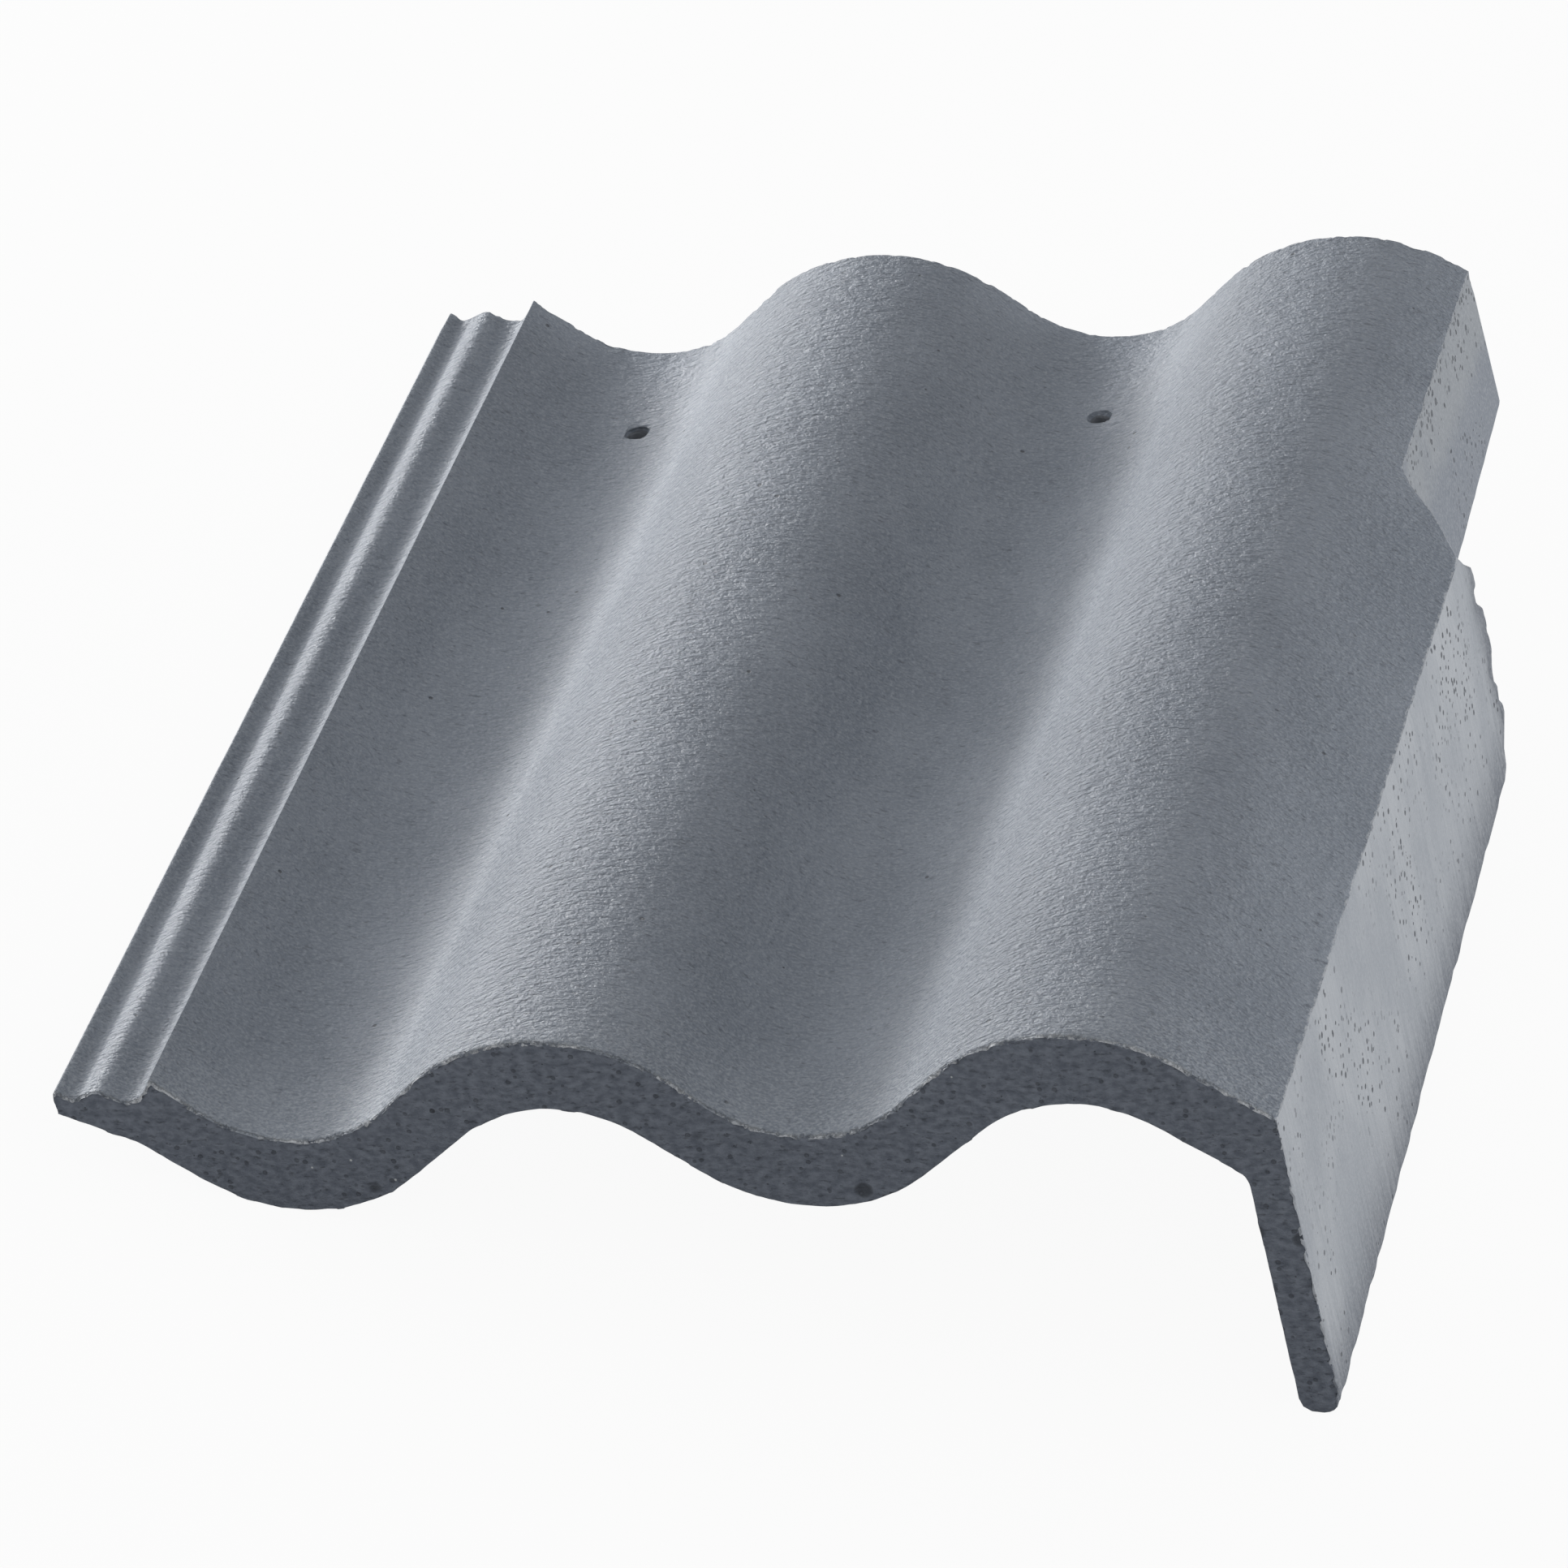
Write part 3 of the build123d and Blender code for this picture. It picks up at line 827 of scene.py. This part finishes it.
# %% Grain: noise of a given size in millimetres
def make_grain_group():
    """Rough grain whose length, width and height can differ."""
    inputs = {"Point": (0.0, 0.0, 0.0), "Size mm": (1.0, 1.0, 1.0), "Detail": 4.0, "Roughness": 0.55}
    group, given, out = new_group("grain", inputs, ["Height"])
    millimetres = add(group, "ShaderNodeVectorMath", {0: given["Point"], 3: 1000.0}, operation="SCALE")
    scaled = add(group, "ShaderNodeVectorMath", {0: millimetres.outputs[0], 1: given["Size mm"]},
                 operation="DIVIDE")
    noise = add(group, "ShaderNodeTexNoise", {"Vector": scaled.outputs[0], "Scale": 1.0,
                                              "Detail": given["Detail"], "Roughness": given["Roughness"]})
    group.links.new(noise.outputs[0], out["Height"])
    return group


# %% Pits: small round holes, some cells having one and some none
def make_pit_group():
    """Scattered pits with a spacing, a radius and a share of places that have one."""
    inputs = {"Point": (0.0, 0.0, 0.0), "Spacing mm": 5.0, "Radius mm": 0.5, "Share": 0.3}
    group, given, out = new_group("pits", inputs, ["Mask"])
    millimetres = add(group, "ShaderNodeVectorMath", {0: given["Point"], 3: 1000.0}, operation="SCALE")
    per_cell = maths(group, "DIVIDE", 1.0, given["Spacing mm"])
    cells = add(group, "ShaderNodeVectorMath", {0: millimetres.outputs[0], 3: per_cell}, operation="SCALE")
    voronoi = add(group, "ShaderNodeTexVoronoi", {"Vector": cells.outputs[0], "Scale": 1.0})
    chance = add(group, "ShaderNodeSeparateColor", {0: voronoi.outputs["Color"]})
    has_pit = maths(group, "LESS_THAN", chance.outputs[0], given["Share"])
    size = maths(group, "MULTIPLY", given["Radius mm"], maths(group, "ADD", chance.outputs[1], 0.4))
    away = maths(group, "MULTIPLY", voronoi.outputs["Distance"], given["Spacing mm"])
    inside = ramp(group, maths(group, "DIVIDE", away, size), 0.55, 1.1, 1.0, 0.0)
    group.links.new(maths(group, "MULTIPLY", inside, has_pit), out["Mask"])
    return group


# %% Wear: a broken line along an edge
def make_wear_group():
    """Turns closeness to an edge into a broken, ragged mask."""
    inputs = {"Closeness": 0.0, "Point": (0.0, 0.0, 0.0), "Break mm": (1.5, 1.5, 1.5), "Amount": 0.5}
    group, given, out = new_group("edge_wear", inputs, ["Mask"])
    noise = add(group, "ShaderNodeGroup", {"Point": given["Point"], "Size mm": given["Break mm"],
                                           "Detail": 5.0, "Roughness": 0.7}, node_tree=GRAIN)
    ragged = maths(group, "MULTIPLY", noise.outputs["Height"], given["Closeness"])
    limit = maths(group, "SUBTRACT", 0.62, maths(group, "MULTIPLY", given["Amount"], 0.5))
    reach = ramp(group, maths(group, "SUBTRACT", ragged, limit), -0.05, 0.09)
    group.links.new(reach, out["Mask"])
    return group


# %% Build the groups
def add_group(tree, group, values):
    """The first result of a shader group placed in a material with its own values."""
    return add(tree, "ShaderNodeGroup", values, node_tree=group).outputs[0]


GRAIN = make_grain_group()
PITS = make_pit_group()
WEAR = make_wear_group()
print("shader groups:", GRAIN.name, PITS.name, WEAR.name)

# %% [markdown]
# ## Finishes
#
# The tile is coated slate grey. On the pressed top the coat is satin, with fine wrinkles across the
# rolls where the press drew the mix along. The cut ends are porous and darker. The flap's outer side is
# smoother and paler, with pinholes and drag marks. The underside is plain rough concrete. Each finish is
# a base colour with layers of paint over it, each layer with a mask, a strength and a colour, and a
# relief that is added up from the same masks.

# %% Helpers for the finishes


def colour(red, green, blue):
    """An opaque colour."""
    return (red, green, blue, 1.0)


def grain(tree, point, size, detail=3.0, roughness=0.55):
    """Noise with its size in millimetres along each axis."""
    values = {"Point": point, "Size mm": size, "Detail": detail, "Roughness": roughness}
    return add_group(tree, GRAIN, values)


def pitted(tree, point, spacing, radius, share):
    """Scattered pits, with their spacing and radius in millimetres."""
    values = {"Point": point, "Spacing mm": spacing, "Radius mm": radius, "Share": share}
    return add_group(tree, PITS, values)


def wear(tree, point, closeness, size, amount):
    """A broken line along an edge, with the size of its breaks in millimetres."""
    values = {"Point": point, "Closeness": closeness, "Break mm": size, "Amount": amount}
    return add_group(tree, WEAR, values)


def mixed(tree, share, low, high):
    """A colour between two others, by a share."""
    made = add(tree, "ShaderNodeMix", {0: share, 6: low, 7: high}, data_type="RGBA", clamp_factor=True)
    return made.outputs[2]


def painted(tree, base, *layers):
    """The base under layers of paint, each with its mask, its strength and its colour."""
    for mask, strength, paint in layers:
        base = mixed(tree, times(tree, mask, strength), base, paint)
    return base


def strongest(tree, *masks):
    """The strongest of several masks, each with its strength."""
    found = 0.0
    for mask, strength in masks:
        found = maths(tree, "MAXIMUM", found, times(tree, mask, strength))
    return found


def relief(tree, *layers):
    """Height in millimetres, added up from masks and noises, each with how far it stands out."""
    height = 0.0
    for layer, amount in layers:
        height = maths(tree, "ADD", height, times(tree, layer, amount))
    return height


def new_finish(name):
    """A material with its tree, the place in the flat frame and the marks of wear."""
    material = bpy.data.materials.new(name)
    material.use_nodes = True
    tree = material.node_tree
    point = add(tree, "ShaderNodeAttribute", attribute_name="flat").outputs["Vector"]
    marks = {mark: add(tree, "ShaderNodeAttribute", attribute_name=mark).outputs["Fac"]
             for mark in ("nose_edge", "verge_edge", "darker_foot_and_rear")}
    return material, tree, point, marks


def finished(material, base, rough, height, specular):
    """The material with its colour, its roughness and its bump in millimetres connected."""
    tree = material.node_tree
    shader = tree.nodes["Principled BSDF"]
    bump = add(tree, "ShaderNodeBump", {"Height": height, "Distance": MM, "Strength": 1.0})
    tree.links.new(base, shader.inputs["Base Color"])
    tree.links.new(rough, shader.inputs["Roughness"])
    tree.links.new(bump.outputs["Normal"], shader.inputs["Normal"])
    shader.inputs["Specular IOR Level"].default_value = specular
    return material


# %% Coated top
SLATE_DEEP = colour(0.150, 0.174, 0.212)
SLATE = colour(0.196, 0.222, 0.264)
SLATE_GRAIN = colour(0.300, 0.328, 0.370)
SLATE_FLECK = colour(0.085, 0.098, 0.122)
# Near black painted into pits and pores as the shade inside them; on the cut face it also colours the dark
# blots.
PIT_SHADE_AND_BLOT_BLACK = colour(0.03, 0.034, 0.042)
SAND_SPECK = colour(0.42, 0.44, 0.46)
# Pale dust that is also a painted highlight, strongest at the nose.
DUST_AND_HIGHLIGHT = colour(0.42, 0.45, 0.49)
THIN_COAT = colour(0.42, 0.45, 0.48)
TORN_EDGE = colour(0.55, 0.57, 0.60)
RUBBED_EDGE = colour(0.50, 0.52, 0.55)
DUST_AND_HIGHLIGHT_LENGTH = 45 * MM
CALM_HEIGHT = 4 * MM


def make_coated():
    """The satin slate coat on the rolls, pans and lock, calmer down in the pans."""
    material, tree, point, marks = new_finish("slate_coat")
    place = add(tree, "ShaderNodeSeparateXYZ", {0: point}).outputs
    mottle = grain(tree, point, (34.0, 60.0, 34.0))
    wrinkle = grain(tree, point, (4.2, 1.6, 2.6))
    fine = grain(tree, point, (1.1, 0.8, 1.1))
    flecks = grain(tree, point, (3.4, 1.3, 2.4), detail=2.0)
    patch = grain(tree, point, (8.0, 8.0, 8.0), detail=5.0, roughness=0.7)
    pits = pitted(tree, point, 7.0, 0.62, 0.16)
    specks = pitted(tree, point, 6.0, 0.30, 0.10)
    worn = wear(tree, point, marks["nose_edge"], (0.9, 2.2, 0.9), 0.72)
    rubbed = wear(tree, point, marks["verge_edge"], (1.0, 3.0, 1.0), 0.42)
    # Paler towards the nose: dust and a painted highlight together.
    dust_and_highlight = times(tree, ramp(tree, place["Y"], 0.0, DUST_AND_HIGHLIGHT_LENGTH, 1.0, 0.0), ramp(tree, fine, 0.35, 0.65))
    thin = times(tree, ramp(tree, marks["nose_edge"], 0.28, 0.70), ramp(tree, patch, 0.40, 0.60))
    torn = times(tree, worn, ramp(tree, patch, 0.42, 0.60))
    base = mixed(tree, ramp(tree, mottle, 0.3, 0.7), SLATE_DEEP, SLATE)
    # Among the layers, the near black in the pits is painted shade.
    base = painted(tree, base,
                   (ramp(tree, fine, 0.40, 0.75), 0.6, SLATE_GRAIN),
                   (ramp(tree, flecks, 0.58, 0.76), 0.7, SLATE_FLECK),
                   (pits, 0.75, PIT_SHADE_AND_BLOT_BLACK),
                   (specks, 0.5, SAND_SPECK),
                   (dust_and_highlight, 0.22, DUST_AND_HIGHLIGHT),
                   (thin, 0.55, THIN_COAT),
                   (torn, 0.85, TORN_EDGE),
                   (rubbed, 0.6, RUBBED_EDGE))
    height = relief(tree, (wrinkle, 1.95), (fine, 0.8))
    height = times(tree, height, ramp(tree, place["Z"], CALM_HEIGHT, ROLL_HEIGHT, 0.55, 1.0))
    height = relief(tree, (height, 1.0), (pits, -0.4), (worn, -0.5))
    return finished(material, base, ramp(tree, wrinkle, 0.2, 0.8, 0.42, 0.56), height, 0.5)


# %% Cut nose and head
CUT_DEEP = colour(0.104, 0.119, 0.149)
CUT_GREY = colour(0.176, 0.197, 0.236)
CUT_SPECK = colour(0.50, 0.52, 0.53)
CUT_WORN = colour(0.46, 0.48, 0.50)


def make_cut():
    """The dark porous face where the ribbon was cut."""
    material, tree, point, marks = new_finish("cut_face")
    coarse = grain(tree, point, (3.2, 3.2, 2.2), detail=4.0)
    fine = grain(tree, point, (0.9, 0.9, 0.9))
    blots = ramp(tree, grain(tree, point, (3.2, 3.2, 1.3), detail=4.0), 0.54, 0.70)
    pores = pitted(tree, point, 2.2, 0.62, 0.28)
    holes = pitted(tree, point, 11.0, 2.0, 0.22)
    specks = pitted(tree, point, 4.0, 0.32, 0.14)
    worn = wear(tree, point, marks["nose_edge"], (1.2, 1.2, 1.2), 0.12)
    # Painted shade in the pores and holes, together with the dark blots that are the face's own colour.
    dark = strongest(tree, (pores, 0.5), (holes, 0.7), (blots, 0.6))
    base = mixed(tree, ramp(tree, coarse, 0.3, 0.7), CUT_DEEP, CUT_GREY)
    base = painted(tree, base, (dark, 1.0, PIT_SHADE_AND_BLOT_BLACK), (specks, 1.0, CUT_SPECK), (worn, 0.7, CUT_WORN))
    height = relief(tree, (coarse, 1.1), (fine, 0.35), (pores, -0.4), (holes, -0.9))
    return finished(material, base, ramp(tree, fine, 0.2, 0.8, 0.75, 0.92), height, 0.35)


# %% Flap and inset wall
BARE_LOW = float(TOP.z(VERGE_X - INSET)) - 22 * MM
BARE_HIGH = BARE_LOW + 12 * MM
DRAG_REACH = 16 * MM
FLAP_GREY = colour(0.312, 0.336, 0.372)
FLAP_PALE = colour(0.405, 0.428, 0.460)
FLAP_GRAIN = colour(0.46, 0.48, 0.51)
DRAG_GREY = colour(0.25, 0.275, 0.31)
# Painted shade on the recessed inset wall: a darker copy of the flap's grey.
INSET_SHADE = colour(0.185, 0.207, 0.245)
BARE_GREY = colour(0.262, 0.282, 0.308)
# Darker paint towards the flap's foot and rear edge.
DARKER_FOOT_GREY = colour(0.105, 0.118, 0.145)
# Painted shade in the pinholes and pits.
PINHOLE_SHADE = colour(0.06, 0.068, 0.082)


def make_side():
    """The paler outer side of the flap, with pinholes in clusters and drag marks down it, painted shade in
    the pinholes and on the inset wall, and darker paint at the foot and rear.
    """
    material, tree, point, marks = new_finish("flap_side")
    place = add(tree, "ShaderNodeSeparateXYZ", {0: point}).outputs
    broad = grain(tree, point, (30.0, 38.0, 55.0))
    streak = grain(tree, point, (3.0, 1.6, 26.0))
    fine = grain(tree, point, (0.8, 0.8, 1.2))
    inset = ramp(tree, place["X"], VERGE_X - 0.75 * INSET, VERGE_X - 0.25 * INSET, 1.0, 0.0)
    ragged_z = maths(tree, "ADD", place["Z"], times(tree, streak, DRAG_REACH))
    bare = times(tree, ramp(tree, ragged_z, BARE_LOW, BARE_HIGH), ramp(tree, broad, 0.30, 0.52), inset)
    # Darker towards the foot and rear, broken up by the streaks.
    darker_foot_and_rear = times(tree, marks["darker_foot_and_rear"], ramp(tree, streak, 0.1, 0.7, 0.5, 1.0))
    pinholes = times(tree, pitted(tree, point, 2.6, 0.74, 0.58), ramp(tree, broad, 0.40, 0.60))
    holes = pitted(tree, point, 10.0, 1.0, 0.12)
    rotten = times(tree, pitted(tree, point, 3.2, 0.95, 0.42), bare)
    # Painted shade in the pinholes, the holes and the rotten pits.
    dark = strongest(tree, (pinholes, 0.9), (holes, 0.8), (rotten, 0.7))
    base = mixed(tree, ramp(tree, broad, 0.32, 0.68), FLAP_GREY, FLAP_PALE)
    # The inset wall gets painted shade, the foot and rear get darker paint, and the pits get painted shade.
    base = painted(tree, base,
                   (ramp(tree, streak, 0.42, 0.72), 0.35, DRAG_GREY),
                   (inset, 0.9, INSET_SHADE),
                   (bare, 1.0, BARE_GREY),
                   (darker_foot_and_rear, 1.0, DARKER_FOOT_GREY),
                   (ramp(tree, fine, 0.40, 0.70), 0.30, FLAP_GRAIN),
                   (dark, 1.0, PINHOLE_SHADE))
    height = relief(tree, (streak, 0.35), (fine, 0.30), (pinholes, -0.5), (rotten, -0.8), (holes, -0.6))
    return finished(material, base, ramp(tree, fine, 0.2, 0.8, 0.55, 0.72), height, 0.4)


# %% Underside
UNDER_DEEP = colour(0.148, 0.160, 0.180)
UNDER_GREY = colour(0.205, 0.218, 0.240)
# Painted shade in the pores.
UNDER_PORE_SHADE = colour(0.06, 0.065, 0.075)


def make_under():
    """Plain rough concrete under the tile."""
    material, tree, point, _ = new_finish("rough_under")
    coarse = grain(tree, point, (2.6, 4.0, 2.6), detail=4.0)
    fine = grain(tree, point, (0.8, 0.8, 0.8))
    pores = pitted(tree, point, 4.5, 0.8, 0.3)
    base = mixed(tree, ramp(tree, coarse, 0.3, 0.7), UNDER_DEEP, UNDER_GREY)
    base = painted(tree, base, (pores, 0.6, UNDER_PORE_SHADE))
    height = relief(tree, (coarse, 0.7), (fine, 0.3), (pores, -0.5))
    return finished(material, base, ramp(tree, fine, 0.2, 0.8, 0.8, 0.95), height, 0.3)


FINISHES = {COATED: make_coated(), CUT: make_cut(), SIDE: make_side(), UNDER: make_under()}
print("finishes:", [finish.name for finish in FINISHES.values()])

# %% [markdown]
# ## Casting roughness with Geometry Nodes
#
# No face of cast concrete is exact. It swells a little, its nose edge is chipped, the cut face and the
# underside are rough, and the lower edges and the coat's edge are frayed. These follow rules, so a
# Geometry Nodes tree does them: it pushes points inwards by noise, with a depth and a size for each
# effect as named inputs and one seed. It only pushes inwards, so the tile never grows out of its box.
# The tree ends by giving each kind of face its finish.

# %% The roughness tree
ROUGHNESS = {
    "Swell height": 0.35 * MM,
    "Swell size": 26 * MM,
    "Chip depth": 1.5 * MM,
    "Chip size": 3.2 * MM,
    "Cut depth": 0.7 * MM,
    "Cut grain": 2.6 * MM,
    "Under depth": 1.3 * MM,
    "Under size": 9 * MM,
    "Foot depth": 1.4 * MM,
    "Coat edge depth": 1.1 * MM,
    "Coat edge size": 4.5 * MM,
}
ROUGHNESS_SEED = 7
BORDER_BLUR = 6
BORDER_GAIN = 12.0


def noise_at(tree, point, size, seed, detail):
    """Noise from 0 to 1 with a size in metres."""
    scale = maths(tree, "DIVIDE", 1.0, size)
    values = {"Vector": point, "W": seed, "Scale": scale, "Detail": detail, "Roughness": 0.6}
    return add(tree, "ShaderNodeTexNoise", values, noise_dimensions="4D").outputs[0]


def named(tree, name, data_type):
    """A stored mark, read in the tree."""
    made = add(tree, "GeometryNodeInputNamedAttribute", data_type=data_type)
    made.inputs["Name"].default_value = name
    return made.outputs["Attribute"]


def is_kind(tree, kind):
    """Whether a face is of one kind."""
    made = add(tree, "FunctionNodeCompare", data_type="INT", operation="EQUAL")
    tree.links.new(named(tree, "kind", "INT"), made.inputs["A"])
    made.inputs["B"].default_value = kind
    return made.outputs["Result"]


def share_of(tree, kind):
    """How much of a point's surroundings is of one kind, from 0 to 1."""
    settings = {"data_type": "FLOAT", "domain": "FACE"}
    return add(tree, "GeometryNodeFieldOnDomain", {0: is_kind(tree, kind)}, **settings).outputs[0]


def border(tree, kind):
    """1 along the edge of one kind of surface, fading to 0 a few points away."""
    share = share_of(tree, kind)
    line = maths(tree, "MULTIPLY", share, maths(tree, "SUBTRACT", 1.0, share))
    blurred = add(tree, "GeometryNodeBlurAttribute", {0: line, "Iterations": BORDER_BLUR}, data_type="FLOAT")
    return maths(tree, "MULTIPLY", blurred.outputs[0], BORDER_GAIN, True)


def make_roughness_tree():
    """The tree that roughens a casting and gives its faces their finishes."""
    tree = bpy.data.node_groups.new("casting_roughness", "GeometryNodeTree")
    tree.interface.new_socket("Geometry", in_out="INPUT", socket_type="NodeSocketGeometry")
    for name, value in ROUGHNESS.items():
        tree.interface.new_socket(name, in_out="INPUT", socket_type="NodeSocketFloat").default_value = value
    tree.interface.new_socket("Seed", in_out="INPUT", socket_type="NodeSocketFloat")
    tree.interface.new_socket("Geometry", in_out="OUTPUT", socket_type="NodeSocketGeometry")
    given = tree.nodes.new("NodeGroupInput").outputs
    point = named(tree, "flat", "FLOAT_VECTOR")
    seed = given["Seed"]
    chip = ramp(tree, noise_at(tree, point, given["Chip size"], seed, 5.0), 0.42, 0.66)
    cut = noise_at(tree, point, given["Cut grain"], seed, 4.0)
    rough = ramp(tree, noise_at(tree, point, given["Under size"], seed, 1.2), 0.36, 0.64)
    nick = ramp(tree, noise_at(tree, point, given["Coat edge size"], seed, 4.0), 0.45, 0.70)
    effects = {
        "Swell height": noise_at(tree, point, given["Swell size"], seed, 2.0),
        "Chip depth": times(tree, chip, ramp(tree, named(tree, "nose_edge", "FLOAT"), 0.25, 0.9)),
        "Cut depth": times(tree, cut, share_of(tree, CUT)),
        "Under depth": times(tree, rough, share_of(tree, UNDER)),
        "Foot depth": times(tree, rough, border(tree, UNDER)),
        "Coat edge depth": times(tree, nick, border(tree, COATED)),
    }
    depth = 0.0
    for name, effect in effects.items():
        depth = maths(tree, "ADD", depth, times(tree, effect, given[name]))
    inward = add(tree, "ShaderNodeVectorMath", {0: tree.nodes.new("GeometryNodeInputNormal").outputs[0]},
                 operation="SCALE")
    tree.links.new(times(tree, depth, -1.0), inward.inputs[3])
    moved = add(tree, "GeometryNodeSetPosition", {0: given["Geometry"], "Offset": inward.outputs[0]})
    real = add(tree, "GeometryNodeRealizeInstances", {0: moved.outputs[0]}).outputs[0]
    for kind, finish in FINISHES.items():
        real = add(tree, "GeometryNodeSetMaterial", {"Geometry": real, "Selection": is_kind(tree, kind),
                                                     "Material": finish}).outputs[0]
    tree.links.new(real, tree.nodes.new("NodeGroupOutput").inputs[0])
    return tree


def roughen(piece):
    """Runs the roughness tree on a piece and keeps the result as its mesh."""
    for finish in FINISHES.values():
        piece.data.materials.append(finish)
    modifier = piece.modifiers.new("casting_roughness", "NODES")
    modifier.node_group = make_roughness_tree()
    for item in modifier.node_group.interface.items_tree:
        if item.in_out == "INPUT" and item.name in ROUGHNESS:
            modifier[item.identifier] = ROUGHNESS[item.name]
        elif item.in_out == "INPUT" and item.name == "Seed":
            modifier[item.identifier] = float(ROUGHNESS_SEED)
    mesh = evaluated_mesh(piece, "tile")
    piece.modifiers.clear()
    piece.data = mesh
    return mesh


roughen(body)
print("finishes on the mesh:", [finish.name for finish in body.data.materials])

# %% [markdown]
# ## Smooth faces and sharp edges
#
# The rolls are smooth, and the cut ends, the verge corner and the steps are crisp. Marking every edge
# that turns by more than a set angle as sharp does both with one rule.

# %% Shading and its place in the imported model
SHARP_ANGLE = math.radians(42)
body.data.shade_smooth()
body.data.set_sharp_from_angle(angle=SHARP_ANGLE)
body.name = "tile"
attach(body, "root")
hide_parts("verge_tile")
triangles = sum(len(polygon.vertices) - 2 for polygon in body.data.polygons)
print("tile:", triangles, "triangles")

# %% [markdown]
# ## Floor, background and lamps
#
# The picture shows the tile on white. The floor is a pale plane that shows nearly white to the camera
# and still takes the tile's shadow. The light comes low from the left and behind: two long lamps near
# the floor make the rising flanks bright and leave the nose dark, and a third, higher one softens them.
# A lamp at the right lights the flap.

# %% Floor
FLOOR_SIZE = 14.0
FLOOR_GREY = colour(0.62, 0.62, 0.62)
WHITE = colour(1.0, 1.0, 1.0)
FLOOR_GLOW = 0.94


def make_floor():
    """A pale floor: diffuse for every ray, lifted towards white for the camera."""
    mesh = bpy.data.meshes.new("floor")
    half = FLOOR_SIZE / 2
    corners = [(-half, -half, 0), (half, -half, 0), (half, half, 0), (-half, half, 0)]
    mesh.from_pydata(corners, [], [(0, 1, 2, 3)])
    floor = new_object("floor", mesh)
    material = bpy.data.materials.new("pale_floor")
    material.use_nodes = True
    tree = material.node_tree
    tree.nodes.clear()
    matt = add(tree, "ShaderNodeBsdfDiffuse", {"Color": FLOOR_GREY})
    glow = add(tree, "ShaderNodeEmission", {"Color": WHITE, "Strength": 1.0})
    path = tree.nodes.new("ShaderNodeLightPath")
    lift = maths(tree, "MULTIPLY", path.outputs["Is Camera Ray"], FLOOR_GLOW)
    both = add(tree, "ShaderNodeMixShader", {0: lift, 1: matt.outputs[0], 2: glow.outputs[0]})
    output = tree.nodes.new("ShaderNodeOutputMaterial")
    tree.links.new(both.outputs[0], output.inputs["Surface"])
    mesh.materials.append(material)
    return floor


make_floor()

# %% World and lamps
WORLD_LIGHT = 0.64
LAMPS = {
    "key_left": {"spot": (-1.7, 1.15, 0.15), "size": (0.9, 0.26), "power": 21.0},
    "key_rear": {"spot": (-1.25, 1.6, 0.2), "size": (0.9, 0.3), "power": 8.5},
    "fill_left": {"spot": (-1.7, 0.9, 0.7), "size": (1.0, 0.5), "power": 10.0},
    "side_right": {"spot": (2.05, 0.35, 0.25), "size": (1.2, 0.45), "power": 16.5},
}


def make_lamp(name, spot, size, power):
    """An area lamp that looks at the tile's middle."""
    data = bpy.data.lights.new(name, "AREA")
    data.shape = "RECTANGLE"
    data.size, data.size_y = size
    data.energy = power
    lamp = bpy.data.objects.new(name, data)
    bpy.context.scene.collection.objects.link(lamp)
    aim = (CAMERA_AIM - Vector(spot)).to_track_quat("-Z", "Y")
    lamp.matrix_world = Matrix.LocRotScale(Vector(spot), aim, None)
    return lamp


def make_world():
    """White to the camera, and a plain grey light to everything else."""
    world = bpy.data.worlds.new("studio")
    bpy.context.scene.world = world
    world.use_nodes = True
    tree = world.node_tree
    tree.nodes.clear()
    plain = add(tree, "ShaderNodeBackground", {"Color": WHITE, "Strength": WORLD_LIGHT})
    white = add(tree, "ShaderNodeBackground", {"Color": WHITE, "Strength": 1.0})
    path = tree.nodes.new("ShaderNodeLightPath")
    both = add(tree, "ShaderNodeMixShader", {0: path.outputs["Is Camera Ray"], 1: plain.outputs[0],
                                             2: white.outputs[0]})
    tree.links.new(both.outputs[0], tree.nodes.new("ShaderNodeOutputWorld").inputs["Surface"])


for name, lamp in LAMPS.items():
    make_lamp(name, **lamp)
make_world()
bpy.context.scene.view_settings.view_transform = "Standard"
print("lamps:", list(LAMPS))
